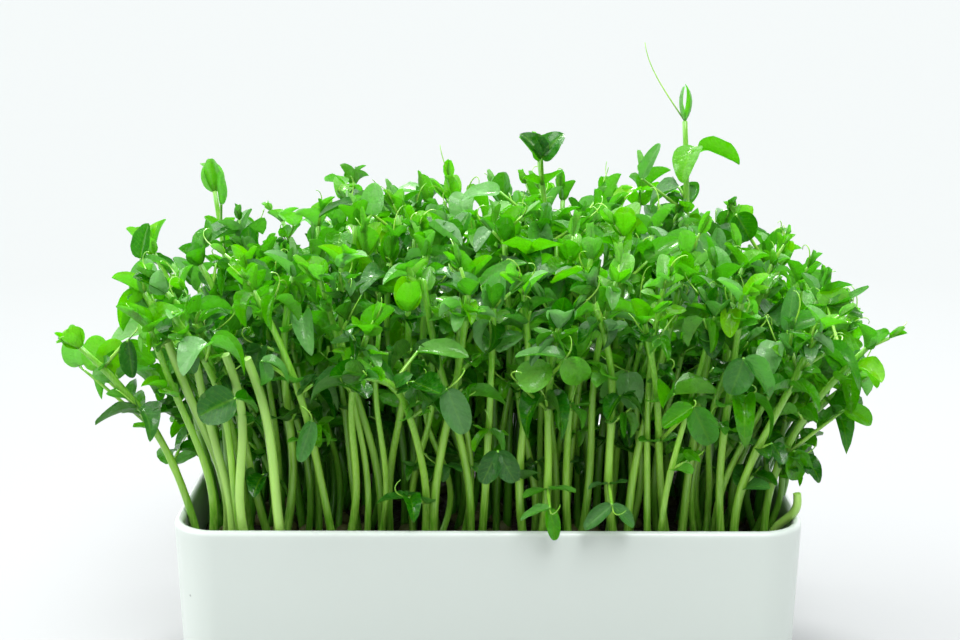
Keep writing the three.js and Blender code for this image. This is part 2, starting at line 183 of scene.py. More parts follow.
def tray_ring(inset, z):
    """A rounded rectangle that stands in from the rim's outer edge by inset."""
    radius = max(TRAY_CORNER - inset, 1)
    middle = np.array([TRAY_LENGTH / 2 - inset - radius, TRAY_WIDTH / 2 - inset - radius])
    ring = []
    for quarter, corner in enumerate([(1, 1), (-1, 1), (-1, -1), (1, -1)]):
        for step in range(CORNER_STEPS + 1):
            angle = (quarter + step / CORNER_STEPS) * math.pi / 2
            x, y = corner * middle + radius * np.array([math.cos(angle), math.sin(angle)])
            ring.append((x, y, z))
    return ring


def draft_at(z):
    """How far a wall has leaned in at height z."""
    return TRAY_DRAFT * (1 - z / TRAY_HEIGHT)


def ring_skin(rings):
    """Points and faces of a closed skin over a stack of rings, both ends closed by one face."""
    count = len(rings[0])
    points = [point for ring in rings for point in ring]
    faces = [tuple(reversed(range(count)))]
    for start in range(0, len(points) - count, count):
        for i in range(count):
            beside = start + (i + 1) % count
            faces.append((start + i, beside, beside + count, start + i + count))
    faces.append(tuple(range(len(points) - count, len(points))))
    return points, faces


def add_piece(name, points, faces, materials, slot, replaced=(), smooth_angle=None):
    """Makes an object from points in millimetres, which rides on the object's one body."""
    mesh = bpy.data.meshes.new(name)
    mesh.from_pydata((np.asarray(points, float) * MM).tolist(), [], faces)
    for material in materials:
        mesh.materials.append(material)
    mesh.shade_smooth()
    if smooth_angle is not None:
        mesh.set_sharp_from_angle(angle=math.radians(smooth_angle))
    piece = bpy.data.objects.new(name, mesh)
    bpy.context.scene.collection.objects.link(piece)
    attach(piece, "root")
    if replaced:
        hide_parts(*replaced)
    return piece


# The rim's section is a half circle across the wall's thickness, and the cove and foot are arcs.
ARC_STEPS = 6
half_wall = TRAY_WALL / 2
quarter_arc = [step / ARC_STEPS * math.pi / 2 for step in range(ARC_STEPS + 1)]
tray_rings = [tray_ring(draft_at(0) + 2 * TRAY_FOOT, 0)]
for angle in quarter_arc:
    inset = draft_at(TRAY_FOOT) + TRAY_FOOT * (1 - math.sin(angle))
    tray_rings.append(tray_ring(inset, TRAY_FOOT * (1 - math.cos(angle))))
# A ring close to each end of a wall keeps the wall's shading flat.
for share in (0.02, 0.35, 0.68, 0.98):
    z = TRAY_FOOT + share * (TRAY_HEIGHT - half_wall - TRAY_FOOT)
    tray_rings.append(tray_ring(draft_at(z), z))
for step in range(2 * ARC_STEPS + 1):
    angle = step / (2 * ARC_STEPS) * math.pi
    z = TRAY_HEIGHT - half_wall * (1 - math.sin(angle))
    tray_rings.append(tray_ring(half_wall * (1 - math.cos(angle)), z))
for share in (0.98, 0.6, 0.2, 0.02):
    z = TRAY_FLOOR + TRAY_COVE + share * (TRAY_HEIGHT - half_wall - TRAY_FLOOR - TRAY_COVE)
    tray_rings.append(tray_ring(TRAY_WALL + draft_at(z), z))
for angle in quarter_arc:
    z = TRAY_FLOOR + TRAY_COVE * (1 - math.sin(angle))
    inset = TRAY_WALL + draft_at(TRAY_FLOOR) + TRAY_COVE * (1 - math.cos(angle))
    tray_rings.append(tray_ring(inset, z))

white_plastic = bpy.data.materials.new("glossy moulded white plastic")
white_plastic.use_nodes = True
tree = white_plastic.node_tree
shader = tree.nodes["Principled BSDF"]
shader.inputs["IOR"].default_value = 1.49
place = add_node(tree, "ShaderNodeTexCoord")
# Faint grey specks about 1 mm across, one in every few centimetres.
specks = add_node(
    tree, "ShaderNodeTexVoronoi", {"Scale": 1 / (14 * MM)}, {"Vector": (place, "Object")}
)
speck_size = add_node(
    tree, "ShaderNodeMapRange",
    {"From Min": 0.02, "From Max": 0.045, "To Min": 1.0, "To Max": 0.0},
    {"Value": (specks, "Distance")},
)
some_cells = add_node(
    tree, "ShaderNodeMath", {1: 0.8}, {0: (specks, "Color")}, operation="GREATER_THAN"
)
speck = add_node(
    tree, "ShaderNodeMath", {}, {0: (speck_size, "Result"), 1: (some_cells, "Value")},
    operation="MULTIPLY",
)
tray_colour = add_node(
    tree, "ShaderNodeMix", {MIX_A: linear("#cbd3cd"), MIX_B: linear("#949b96")},
    {"Factor": (speck, "Value")}, data_type="RGBA",
)
tree.links.new(tray_colour.outputs[MIX_RESULT], shader.inputs["Base Color"])
# The gloss changes a little over a few centimetres, where the melt cooled unevenly.
cooling = add_node(
    tree, "ShaderNodeTexNoise", {"Scale": 1 / (30 * MM), "Detail": 3.0}, {"Vector": (place, "Object")}
)
gloss = add_node(
    tree, "ShaderNodeMapRange", {"To Min": 0.16, "To Max": 0.3}, {"Value": (cooling, "Fac")}
)
tree.links.new(gloss.outputs["Result"], shader.inputs["Roughness"])
skin_noise = add_node(
    tree, "ShaderNodeTexNoise", {"Scale": 1 / (4 * MM), "Detail": 1.0}, {"Vector": (place, "Object")}
)
moulded_skin = add_node(
    tree, "ShaderNodeBump", {"Strength": 0.12, "Distance": 0.05 * MM}, {"Height": (skin_noise, "Fac")}
)
tree.links.new(moulded_skin.outputs["Normal"], shader.inputs["Normal"])

add_piece(
    "moulded_tray", *ring_skin(tray_rings), [white_plastic], "white_plastic", ["tray"], smooth_angle=40
)


# ---------------------------------------------------------------------------------------------
# Growing medium
# Dark moist coir, all crumbs and short fibres, raked level and pressed into the tray by hand. It
# is a little higher in the middle than at the walls.

_, medium_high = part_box("growing_medium")
MEDIUM_RISE = 1
MEDIUM_TOP = round(medium_high.z / MM, 3) - MEDIUM_RISE
MEDIUM_SHOULDER = 5
MEDIUM_GAP = TRAY_WALL + 0.6  # from the rim's outer edge line to the coir, less the draft
MEDIUM_CELL = 1.6
LUMP_SIZE = 7
LUMP_HEIGHT = 0.66
SUNK = 0.4  # how far the lumpy surface lies below the even one of the solid


def in_tray(x, y, inset):
    """Moves a point of a rectangle's grid so that the grid fills the tray's rounded outline."""
    radius = TRAY_CORNER - inset
    corner = np.array([TRAY_LENGTH / 2 - TRAY_CORNER, TRAY_WIDTH / 2 - TRAY_CORNER])
    over = np.abs([x, y]) - corner
    if min(over) > 0:
        length = math.hypot(*over)
        over = over / length * max(over)
        x, y = np.sign([x, y]) * (corner + over)
    return x, y


def coir_height(x, y):
    """The height of the coir's surface: crowned, lower along the walls, and lumpy."""
    inset = draft_at(MEDIUM_TOP) + MEDIUM_GAP
    to_wall = min(TRAY_LENGTH / 2 - inset - abs(x), TRAY_WIDTH / 2 - inset - abs(y))
    crown = MEDIUM_RISE * min(max(to_wall / (TRAY_WIDTH / 4), 0), 1)
    shoulder = (1 - min(max(to_wall / MEDIUM_SHOULDER, 0), 1)) ** 2
    lumps = noise.fractal(Vector((x, y, 0)) / LUMP_SIZE, 0.6, 2.2, 4)
    return MEDIUM_TOP + crown - shoulder + LUMP_HEIGHT * lumps - SUNK


coir_inset = draft_at(MEDIUM_TOP) + MEDIUM_GAP
half_length = TRAY_LENGTH / 2 - coir_inset
half_width = TRAY_WIDTH / 2 - coir_inset
columns = round(2 * half_length / MEDIUM_CELL)
rows = round(2 * half_width / MEDIUM_CELL)
coir_points = []
for j in range(rows + 1):
    for i in range(columns + 1):
        x, y = in_tray(half_length * (2 * i / columns - 1), half_width * (2 * j / rows - 1), coir_inset)
        coir_points.append((x, y, coir_height(x, y)))
coir_faces = []
for j in range(rows):
    for i in range(columns):
        corner = j * (columns + 1) + i
        behind = corner + columns + 1
        coir_faces.append((corner, corner + 1, behind + 1, behind))
# The sides go down inside the tray's walls, and one face closes the bottom.
edge_loop = list(range(columns))
edge_loop += [j * (columns + 1) + columns for j in range(rows)]
edge_loop += [rows * (columns + 1) + i for i in range(columns, 0, -1)]
edge_loop += [j * (columns + 1) for j in range(rows, 0, -1)]
above = edge_loop
for z in (TRAY_FLOOR + TRAY_COVE + 1, TRAY_FLOOR + 0.5):
    lean = TRAY_DRAFT * (MEDIUM_TOP - z) / TRAY_HEIGHT
    lean += TRAY_COVE if z < TRAY_FLOOR + TRAY_COVE else 0
    below = []
    for index in edge_loop:
        x, y, _ = coir_points[index]
        below.append(len(coir_points))
        coir_points.append((x * (1 - lean / half_length), y * (1 - lean / half_width), z))
    for k in range(len(edge_loop)):
        m = (k + 1) % len(edge_loop)
        coir_faces.append((above[m], above[k], below[k], below[m]))
    above = below
coir_faces.append(tuple(reversed(above)))

coir = bpy.data.materials.new("moist dark coir")
coir.use_nodes = True
tree = coir.node_tree
shader = tree.nodes["Principled BSDF"]
place = add_node(tree, "ShaderNodeTexCoord")
crumb_cells = add_node(
    tree, "ShaderNodeTexVoronoi", {"Scale": 1 / (1.4 * MM)}, {"Vector": (place, "Object")}
)
fibre_noise = add_node(
    tree, "ShaderNodeTexNoise", {"Scale": 1 / (3 * MM), "Detail": 5.0, "Distortion": 1.5},
    {"Vector": (place, "Object")},
)
coir_colour = add_node(
    tree, "ShaderNodeMix", {MIX_A: linear("#120c08"), MIX_B: linear("#35251a")},
    {"Factor": (fibre_noise, "Fac")}, data_type="RGBA",
)
tree.links.new(coir_colour.outputs[MIX_RESULT], shader.inputs["Base Color"])
# Wet crumbs catch a little light, dry ones none.
dampness = add_node(
    tree, "ShaderNodeMapRange", {"To Min": 0.6, "To Max": 1.0}, {"Value": (crumb_cells, "Color")}
)
tree.links.new(dampness.outputs["Result"], shader.inputs["Roughness"])
crumb_bump = add_node(
    tree, "ShaderNodeBump", {"Strength": 0.8, "Distance": 0.5 * MM},
    {"Height": (crumb_cells, "Distance")},
)
tree.links.new(crumb_bump.outputs["Normal"], shader.inputs["Normal"])

add_piece("coir_block", coir_points, coir_faces, [coir], "growing_medium", ["growing_medium"])


# ---------------------------------------------------------------------------------------------
# How pea shoots grow
# Two shoots leave each pea. A shoot leans, sways once and ends in a folded young pair; lower
# down, each node has a stalk with two leaflets, in turns on either side. The rule and its seed
# are the solid model's, so that each plant fills the solid it stands for.

PEA_HEIGHT = MEDIUM_TOP + 1  # the middle of a pea
ROOTED_APART = 1.7  # how far each shoot of a pea starts from its middle
CANOPY_HEIGHT = 97  # from the coir to the tip of a shoot in the middle of the tray

# The front row: where each pea lies, and for each shoot where its tip ends to the right and to
# the back, its height, how far up it the leaves stand, and how far a nodding tip bends over.
FRONT_ROW = [
    (-91, -42, [((-31, -10), 70, (0.42, 0.66, 0.84)), ((-13, -18), 78, (0.3, 0.62, 0.82))]),
    (-80, -47, [((-7, -5), 66, "cut"), ((-20, -14), 84, (0.6, 0.8))]),
    (-68, -43, [((-26, -12), 88, (0.28, 0.63, 0.82)), ((4, -6), 92, (0.58, 0.8))]),
    (-47, -46, [((-19, -14), 90, (0.62, 0.82)), ((8, -20), 78, (0.42, 0.74))]),
    (-33, -41, [((-22, -8), 92, (0.62, 0.82)), ((6, -20), 84, (0.6, 0.8))]),
    (-19, -47, [((-9, -14), 77, (0.24, 0.84), (-17, -4)), ((9, -18), 90, (0.6, 0.8))]),
    (-4, -43, [((-12, -12), 92, (0.58, 0.8)), ((-3, -18), 84, (0.32, 0.62, 0.82))]),
    (14, -47, [((-4, -10), 88, (0.6, 0.8)), ((3, -20), 80, (0.64, 0.84))]),
    (28, -43, [((0, -6), 70, (0.7,), (3, -3)), ((8, -16), 92, (0.6, 0.8))]),
    (43, -47, [((-9, -20), 88, (0.6, 0.8)), ((12, -10), 92, (0.62, 0.82))]),
    (60, -44, [((-19, -16), 82, (0.66, 0.84)), ((6, -12), 91, (0.36, 0.64, 0.82))]),
    (77, -47, [((2, -20), 88, (0.6, 0.8)), ((20, -12), 78, (0.3, 0.62, 0.82))]),
    (91, -41, [((29, -12), 70, (0.4, 0.64, 0.84)), ((4, -6), 22, "cut")]),
]
# Three peas further back, in the same form, whose first shoots stand out above the rest.
TALL_SPRIGS = [
    (74, 33, [((0, 8), 130, (0.62, 0.78, 0.9)), ((14, 18), 90, (0.62, 0.82))]),
    (24, 12, [((-3, 4), 119, (0.62, 0.8)), ((9, -8), 100, (0.62, 0.8))]),
    (-84, 38, [((-12, 16), 103, (0.6, 0.8)), ((-22, 6), 82, (0.56, 0.78))]),
]
TALLEST = 130
TALLEST_TENDRIL = (-18, 4, 22)  # from the tallest tip to the end of its tendril

# The rows behind the front one: how far back each lies, and the step from pea to pea.
ROWS = (-23, -3, 18, 40)
ROW_STEP = 31
ROW_HALF_LENGTH = 89
PLACE_JITTER = 3
KEEP_APART = 15  # a row plant this close to a sprig is left out
SIDE_REACH = 20  # how far the outermost shoots lean out over the ends
BACK_REACH = 26
REACH_JITTER = 8
SHOULDER_DROP = 18  # how much lower the canopy is at the ends
HEIGHT_JITTER = 6

UP = np.array([0.0, 0.0, 1.0])
draw_state = 71284  # the seed


def draw(low, high):
    """The next seeded random number between low and high."""
    global draw_state
    draw_state = (draw_state * 1664525 + 1013904223) % 4294967296
    return low + ((high - low) * draw_state) / 4294967296


def unit(vector):
    """The vector at a length of 1."""
    return vector / math.sqrt(vector @ vector)


class Shoot:
    """One shoot of a pea, with the leaves that have found room on it."""

    def __init__(self, reach, height, leaves, nod=(0, 0)):
        self.reach = reach
        self.height = height
        self.cut = leaves == "cut"
        self.leaves = () if self.cut else leaves
        self.nod = np.array(nod, float)
        self.grown = []

    def settle(self, pea, side, give, sway=2):
        """Settles how the shoot leaves its pea and where it leans, give or take so much."""
        heading = side + draw(-0.6, 0.6)
        way = np.array([math.cos(heading), math.sin(heading)])
        self.foot = way * draw(1, 3)
        self.lean = np.array([reach + draw(-give, give) for reach in self.reach])
        self.root = np.array(pea) + way * ROOTED_APART
        self.sway = np.array([draw(-sway, sway), draw(-sway, sway)])
        self.turn = draw(0, 2 * math.pi)

    def point(self, t):
        """A point on the shoot's middle line, at a share t of its height."""
        spread = 1 - (1 - t) ** 4
        sway = math.sin(2 * math.pi * t)
        nod = t ** 6
        droop = 0.5 * math.hypot(*self.nod) * nod
        x, y = self.root + self.foot * spread + self.lean * t * t + self.sway * sway + self.nod * nod
        return np.array([x, y, PEA_HEIGHT + self.height * t - droop])

    def tangent(self, t):
        """Which way the shoot grows at a share t of its height."""
        return unit(self.point(min(t + 0.02, 1)) - self.point(t - 0.02))


def row_shoot(x, y):
    """Shoots lean out over the nearest edges, and those at the ends are shorter."""
    end = x / ROW_HALF_LENGTH
    reach = (
        SIDE_REACH * end ** 3 + draw(-REACH_JITTER, REACH_JITTER),
        BACK_REACH * (y / ROWS[-1]) ** 3 + draw(-REACH_JITTER, REACH_JITTER),
    )
    height = CANOPY_HEIGHT - SHOULDER_DROP * end ** 4 + draw(-HEIGHT_JITTER, HEIGHT_JITTER)
    return Shoot(reach, height, (draw(0.5, 0.64), draw(0.74, 0.84)))


plants = []  # of (x, y, shoots)
for x, y, shoots in FRONT_ROW + TALL_SPRIGS:
    plants.append((x, y, [Shoot(*shoot) for shoot in shoots]))
for row, row_y in enumerate(ROWS):
    row_x = -ROW_HALF_LENGTH + (ROW_STEP / 2 if row % 2 else 0)
    while row_x <= ROW_HALF_LENGTH:
        x = row_x + draw(-PLACE_JITTER, PLACE_JITTER)
        y = row_y + draw(-PLACE_JITTER, PLACE_JITTER)
        shoots = [row_shoot(x, y), row_shoot(x, y)]
        if all(math.hypot(sprig[0] - x, sprig[1] - y) >= KEEP_APART for sprig in TALL_SPRIGS):
            plants.append((x, y, shoots))
        row_x += ROW_STEP

# What grows takes only room that is still free. Balls stand for all that has grown: their
# middles, radii, and the shoot whose stem they are.
STEM_BALL = 2
BLADE_BALL = 1.6
RIM_CLEARANCE = 2.5  # of leaves
STEM_BALLS = 40  # along each stem
NO_STEM = -9
ball_points = np.zeros((3, 0))
ball_radii = np.zeros(0)
ball_stems = np.zeros(0, int)


def occupy(points, radius, stem=NO_STEM):
    """Marks the room that a new part takes."""
    global ball_points, ball_radii, ball_stems
    ball_points = np.concatenate([ball_points, points.T], axis=1)
    ball_radii = np.concatenate([ball_radii, np.full(len(points), radius)])
    ball_stems = np.concatenate([ball_stems, np.full(len(points), stem)])


def is_clear(points, apart, allowed):
    """Whether no ball is closer to each point than apart, a distance added to the ball's radius.
    allowed says for which balls that doesn't matter, a row for each point or one row for all."""
    widest = np.max(apart) + STEM_BALL
    near = np.full(len(ball_radii), True)
    for axis in range(3):
        near &= ball_points[axis] > points[:, axis].min() - widest
        near &= ball_points[axis] < points[:, axis].max() + widest
    near = np.nonzero(near)[0]
    gaps = points[:, :, None] - ball_points[:, near]
    squares = (gaps * gaps).sum(1)
    limits = (np.reshape(apart, (-1, 1)) + ball_radii[near]) ** 2
    return bool(((squares >= limits) | allowed[..., near]).all())


def misses_tray(points):
    """Whether each point is above the rim, or out beyond it, or well inside it."""
    out = np.abs(points[:, :2]) - np.array([TRAY_LENGTH, TRAY_WIDTH]) / 2
    inside = (out < -TRAY_WALL - RIM_CLEARANCE).all(1) & (points[:, 2] > PEA_HEIGHT + 3)
    beyond = (out > RIM_CLEARANCE).any(1)
    return bool((inside | beyond | (points[:, 2] > TRAY_HEIGHT + RIM_CLEARANCE)).all())


STEM_TRIES = 80
GIVE = 0.25  # how much more each further try may lean another way
PARTED = 0.5  # the share of its height from which a shoot stands apart from its twin
TIP_ROOM = 5  # how much more room a tip keeps than a foot
stem_shares = np.arange(2, STEM_BALLS + 1) / STEM_BALLS


def grow_stem(plant, pea, shoot, side, tries, ball, tip_room, sway=2):
    """Tries ways for a shoot to lean until its stem is clear of the others."""
    for i in range(tries):
        shoot.settle(pea, side, i * GIVE, sway)
        points = np.array([shoot.point(t) for t in stem_shares])
        twins = (stem_shares < PARTED)[:, None] & (ball_stems // 2 == plant)
        if is_clear(points, ball + tip_room * stem_shares ** 4, twins):
            occupy(points, ball, shoot.stem)
            return True
    return False


for plant, (x, y, shoots) in enumerate(plants):
    for s, shoot in enumerate(shoots):
        shoot.stem = 2 * plant + s
        side = 0 if s else math.pi
        grow_stem(plant, (x, y), shoot, side, STEM_TRIES, STEM_BALL, TIP_ROOM)


class Blade:
    """A leaflet's form. It is folded along its midrib, and arches down towards its tip."""

    def __init__(self, base, along, facing, length, width, fold, arch, tone=None, wax_and_sheen=0.0):
        self.base = base
        self.along = along
        self.tone = tone
        self.wax_and_sheen = wax_and_sheen
        self.normal = unit(facing - along * (facing @ along))
        self.across = np.cross(self.normal, along)
        self.length = length
        self.width = width
        self.fold = fold
        self.arch = arch

    def points(self, u, v, roundness=0.75):
        """Points of the blade: u runs from its base to its tip, and v from edge to edge."""
        half_width = np.abs(np.sin(np.pi * u ** 0.8)) ** roundness / 2
        out = v * self.width * half_width
        bend = self.arch * u
        lengthwise = self.length * u * (1 - bend * bend / 6)
        sideways = out * math.sqrt(1 - self.fold ** 2)
        lift = np.abs(out) * self.fold - self.length * u * bend / 2
        return (
            self.base
            + lengthwise[:, None] * self.along
            + sideways[:, None] * self.across
            + lift[:, None] * self.normal
        )


STALK_LENGTH = (6, 11)
LEAFLET_LENGTH = (14, 18.5)
LEAFLET_WIDTH = (8.5, 11)
YOUNG_LENGTH = (9, 13)
YOUNG_WIDTH = (7, 9)


def try_leaf(shoot, t, heading, scale, hang=0, raised=0):
    """One try at a leaf: a stalk out of the stem, and a pair of leaflets at its end. The leaflets
    hang down or stand up more steeply with hang, and the stalk stands up more if it is raised."""
    start = shoot.point(t)
    turn = heading + draw(-0.9, 0.9)
    rise = draw(0.35, 1.1) + raised
    outward = unit(np.array([math.cos(turn), math.sin(turn), rise]))
    end = start + outward * scale * draw(*STALK_LENGTH)
    sideways = unit(np.cross(UP, outward))
    facing = unit(np.array([outward[0] * draw(-0.5, 0.2), outward[1] * draw(-0.5, 0.2), 1]))
    length = scale * draw(*LEAFLET_LENGTH)
    form = (length, scale * draw(*LEAFLET_WIDTH), draw(0.15, 0.5), draw(0.3, 0.9))
    level = np.array([outward[0], outward[1], draw(-0.5 - hang, 0.35 + hang)])
    spread = draw(0.9, 1.5)
    blades = []
    for side in (-1, 1):
        along = unit(level + sideways * side * spread)
        blades.append(Blade(end + sideways * side * 0.3, along, facing, *form))
    return t, start, end, blades


def try_tip(shoot, scale):
    """One try at the young pair at the tip of a shoot, folded and curved in to each other."""
    tip = shoot.point(1)
    way = shoot.tangent(1)
    turn = draw(0, 2 * math.pi)
    sideways = np.array([math.cos(turn), math.sin(turn), 0.0])
    form = (scale * draw(*YOUNG_LENGTH), scale * draw(*YOUNG_WIDTH), draw(0.1, 0.3), draw(-0.6, -0.3))
    spread = draw(0.45, 0.75)
    blades = []
    for side in (-1, 1):
        along = unit(way + sideways * side * spread)
        base = tip - way * 0.5 + sideways * side * 0.3
        blades.append(Blade(base, along, 0.4 * UP - sideways * side, *form))
    return 1, tip, tip, blades


# Where the balls lie on a leaflet, and how far along a stalk.
BALL_U = np.repeat([0.15, 0.36, 0.57, 0.78, 1.0], 4)
BALL_V = np.tile([-0.9, -0.3, 0.3, 0.9], 5)
STALK_SHARES = (0.4, 0.7, 1)
LEAF_TRIES = 12
SHRINK = 0.035  # how much smaller each further try is


def grow_leaf(shoot, attempt, ball=BLADE_BALL, scale=1):
    """Tries leaves, each a little smaller, until one has room, and keeps it."""
    own_stem = ball_stems == shoot.stem
    for i in range(LEAF_TRIES):
        leaf = attempt(scale * (1 - SHRINK * i))
        t, start, end, blades = leaf
        stalk = [start + (end - start) * share for share in STALK_SHARES]
        points = np.concatenate([blade.points(BALL_U, BALL_V) for blade in blades] + [stalk])
        if misses_tray(points) and is_clear(points, ball, own_stem):
            occupy(points, ball)
            shoot.grown.append(leaf)
            return


all_shoots = [shoot for _, _, shoots in plants for shoot in shoots]
for shoot in all_shoots:
    if not shoot.cut:
        grow_leaf(shoot, lambda scale: try_tip(shoot, scale))
for shoot in all_shoots:
    first_heading = draw(0, 2 * math.pi)
    for k, t in enumerate(reversed(shoot.leaves)):
        grow_leaf(shoot, lambda scale: try_leaf(shoot, t, first_heading + k * math.pi, scale))


# ---------------------------------------------------------------------------------------------
# Leaves that catch the eye
# The leaves that stand out at the front, at both ends and along the top, placed one by one. Each
# grows on a stalk out of the shoot that gives it the shortest one, and has one or two leaflets.

# Where the stalk ends, and for each leaflet which way it points and faces, its length, width,
# fold and arch, its tone from dark to light, and its share of grey wax and painted sheen.
PLACED_LEAVES = [
    # the left end
    ((-76, -66, 105), [((-10, -2, -4), (1, -10, 5), 13.3, 12.5, 0.32, 0.6, 0.1, 0.08),
                       ((6, 4, -2), (0, -4, 10), 10, 7, 0.62, 0.8, 0.3, 0.0)]),
    ((-117, 0, 135), [((2, 1, 10), (-4, -10, 1), 12.3, 9, 0.5, 0.2, 0.3, 0.0),
                      ((10, 3, -2), (0, -5, 10), 11, 5, 0.6, 0.3, 0.5, 0.15)]),
    ((-129, -40, 108), [((-3, 0, 10), (0, -10, 2), 10, 8, 0.15, 0.1, 0.7, 0.5)]),
    ((-123, -42, 107), [((0, 0, 10), (1, -10, 2), 11.5, 9.5, 0.15, 0.2, 0.85, 0.2)]),
    ((-118, -44, 106), [((1, 0, 10), (-1, -10, 1), 12, 11, 0.15, 0.2, 0.9, 0.0)]),
    ((-111, -50, 119), [((1, -2, -10), (0, -10, 1), 11.9, 8, 0.75, 0.2, 0.12, 0.15),
                        ((8, 2, -10), (0, -10, 1), 12, 8, 0.52, 0.5, 0.75, 0.08)]),
    ((-110, -30, 129), [((1, 0, 10), (1, -10, 4), 12, 10.5, 0.37, 0.6, 0.4, 0.68)]),
    ((-90, -55, 125), [((-10, -1, 0), (0, -6, 8), 14.2, 7.5, 0.52, 0.6, 0.2, 0.45)]),
    ((-91, -60, 122), [((1, -1, -10), (0, -10, 2), 11.9, 7.5, 0.42, 0.5, 0.15, 0.15)]),
    ((-68, -64, 116), [((7, -2, 1), (0, -4, 10), 11, 5.5, 0.6, 1.6, 0.5, 0.38),
                       ((3, -2, -6), (4, -8, 4), 11, 5.5, 0.6, 1.7, 0.4, 0.45)]),
    ((-53, -66, 98), [((-3, -2, -10), (2, -10, 3), 13.3, 7.5, 0.7, 0.2, 0.3, 0.38)]),
    # the front
    ((-21, -64, 119), [((10, -2, 2), (0, -4, 10), 15.7, 8, 0.5, 0.6, 0.7, 0.3)]),
    ((-12, -70, 109), [((4, -2, -10), (0, -10, 4), 15.2, 10, 0.52, 0.5, 0.25, 0.52),
                       ((-9, -1, -5), (0, -6, 8), 12, 7, 0.62, 0.9, 0.35, 0.15)]),
    ((3, -68, 89), [((-5, -2, -10), (0, -10, 3), 11.9, 8, 0.52, 0.6, 0.05, 0.15),
                    ((6, -2, -10), (0, -10, 3), 11.9, 8.5, 0.52, 0.6, 0.08, 0.22)]),
    ((9, -66, 110), [((8, 0, 4), (0, -10, 2), 11.5, 10.5, 0.37, 0.5, 0.75, 0.15)]),
    ((23, -68, 118), [((-10, -1, 3), (1, -5, 10), 15.2, 7, 0.57, 0.6, 0.55, 0.45),
                      ((5, 2, -7), (0, -10, 1), 12.3, 10, 0.42, 0.6, 0.72, 0.15)]),
    ((19, -65, 70), [((2, -2, -10), (1, -10, 2), 11, 5.5, 0.52, 0.5, 0.55, 0.0),
                     ((-10, -1, -2), (0, -4, 10), 10, 4.5, 0.6, 0.5, 0.5, 0.22)]),
    ((38, -65, 71), [((-10, -1, -8), (-2, -10, 6), 12, 6.5, 0.62, 0.5, 0.2, 0.38),
                     ((9, -1, -8), (2, -8, 8), 10, 5, 0.5, 0.3, 0.25, 0.3)]),
    ((61, -72, 104), [((5, -1, -10), (-1, -10, 3), 14.2, 10.5, 0.57, 0.6, 0.42, 0.08),
                      ((-8, -1, -4), (0, -6, 8), 11, 7, 0.6, 0.4, 0.5, 0.0)]),
    ((76, -68, 118), [((-3, -1, -10), (0, -10, 3), 12.3, 10, 0.47, 0.5, 0.25, 0.22),
                      ((9, -1, -8), (1, -7, 8), 16.1, 9, 0.62, 0.7, 0.4, 0.3)]),
    ((-2, -45, 135), [((9, -1, 9), (-2, -5, 10), 16.1, 7.5, 0.62, 0.7, 0.5, 0.22)]),
    ((21, -40, 137), [((10, -1, 2), (0, -5, 10), 14.2, 7.5, 0.52, 1.2, 0.5, 0.68)]),
    ((34, -40, 137), [((10, 0, 0), (0, -4, 10), 12.3, 5, 0.52, 0.6, 0.4, 0.75)]),
    ((51, -25, 139), [((8, 0, 8), (-2, -8, 6), 14.2, 8.5, 0.62, 0.9, 0.6, 0.15)]),
    ((72, -35, 139), [((-6, 0, 10), (0, -10, 4), 16.1, 8.5, 0.52, 0.6, 0.35, 0.45)]),
    # the right end
    ((93, -45, 121), [((1, 0, 10), (-2, -10, 2), 14.2, 7, 0.62, 0.5, 0.25, 0.38),
                      ((10, -1, 6), (0, -6, 8), 12.3, 8.5, 0.62, 0.6, 0.4, 0.22)]),
    ((108, -30, 126), [((10, 0, 1), (0, -3, 10), 14.7, 6, 0.6, -0.7, 0.4, 0.0),
                       ((10, -1, -3), (0, -4, 10), 12.3, 7, 0.6, 0.1, 0.15, 0.15)]),
    ((113, -40, 94), [((10, -1, -3), (0, -8, 6), 11, 7.5, 0.52, 0.6, 0.65, 0.0),
                      ((-8, 1, -3), (0, -5, 10), 11, 6, 0.62, 0.8, 0.4, 0.15)]),
    ((97, -45, 82), [((1, -1, -10), (0, -10, 2), 11, 8, 0.42, 0.6, 0.6, 0.0),
                     ((7, -1, -8), (0, -8, 6), 10, 5.5, 0.62, 0.6, 0.5, 0.08)]),
    # the top
    ((18, 6, 168), [((-5, 0, 10), (6, -10, 3), 12, 9.5, 0.7, 0.9, 0.05, 0.0),
                    ((4, -1, 7), (-4, -10, 3), 11.9, 10.5, 0.5, 0.9, 0.2, 0.0)]),
    ((-39, 0, 150), [((1, 0, 10), (0, -10, 3), 11, 8.5, 0.42, 0.5, 0.6, 0.75)]),
    ((4, 5, 157), [((-10, 0, 1), (0, -6, 8), 14.2, 8.5, 0.42, 0.8, 0.6, 0.75)]),
    ((-44, 10, 152), [((-10, 0, 0), (0, -4, 10), 15.2, 7, 0.52, 0.7, 0.1, 0.08)]),
    ((54, 30, 158), [((4, 0, 10), (-4, -10, 2), 14.2, 6, 0.62, 0.5, 0.4, 0.45)]),
    ((-95, 35, 148), [((0, 0, 10), (4, -10, 0), 12, 6, 0.85, 0.1, 0.6, 0.6)]),
    ((82, -5, 151), [((5, -1, -7), (0, -10, 3), 11, 10, 0.42, 0.7, 0.15, 0.0)]),
    ((16, -10, 150), [((2, -2, -10), (0, -10, 5), 13.8, 9, 0.42, 0.6, 0.5, 0.68)]),
    ((29, -10, 148), [((10, -1, -5), (0, -5, 10), 15.2, 7, 0.62, 0.8, 0.5, 0.6)]),
]
PLACED_NODES = np.arange(0.3, 0.97, 0.03)  # where on its shoot such a leaf may start
STALK_RISE = 0.8  # how far a stalk rises for each millimetre that it reaches out
LEAFLET_BALL = 0.3


def stalk_cost(start, end):
    """How far a stalk would reach out, and how far off it would be from rising as stalks do."""
    reach = math.hypot(end[0] - start[0], end[1] - start[1])
    return reach + abs(end[2] - start[2] - STALK_RISE * reach)


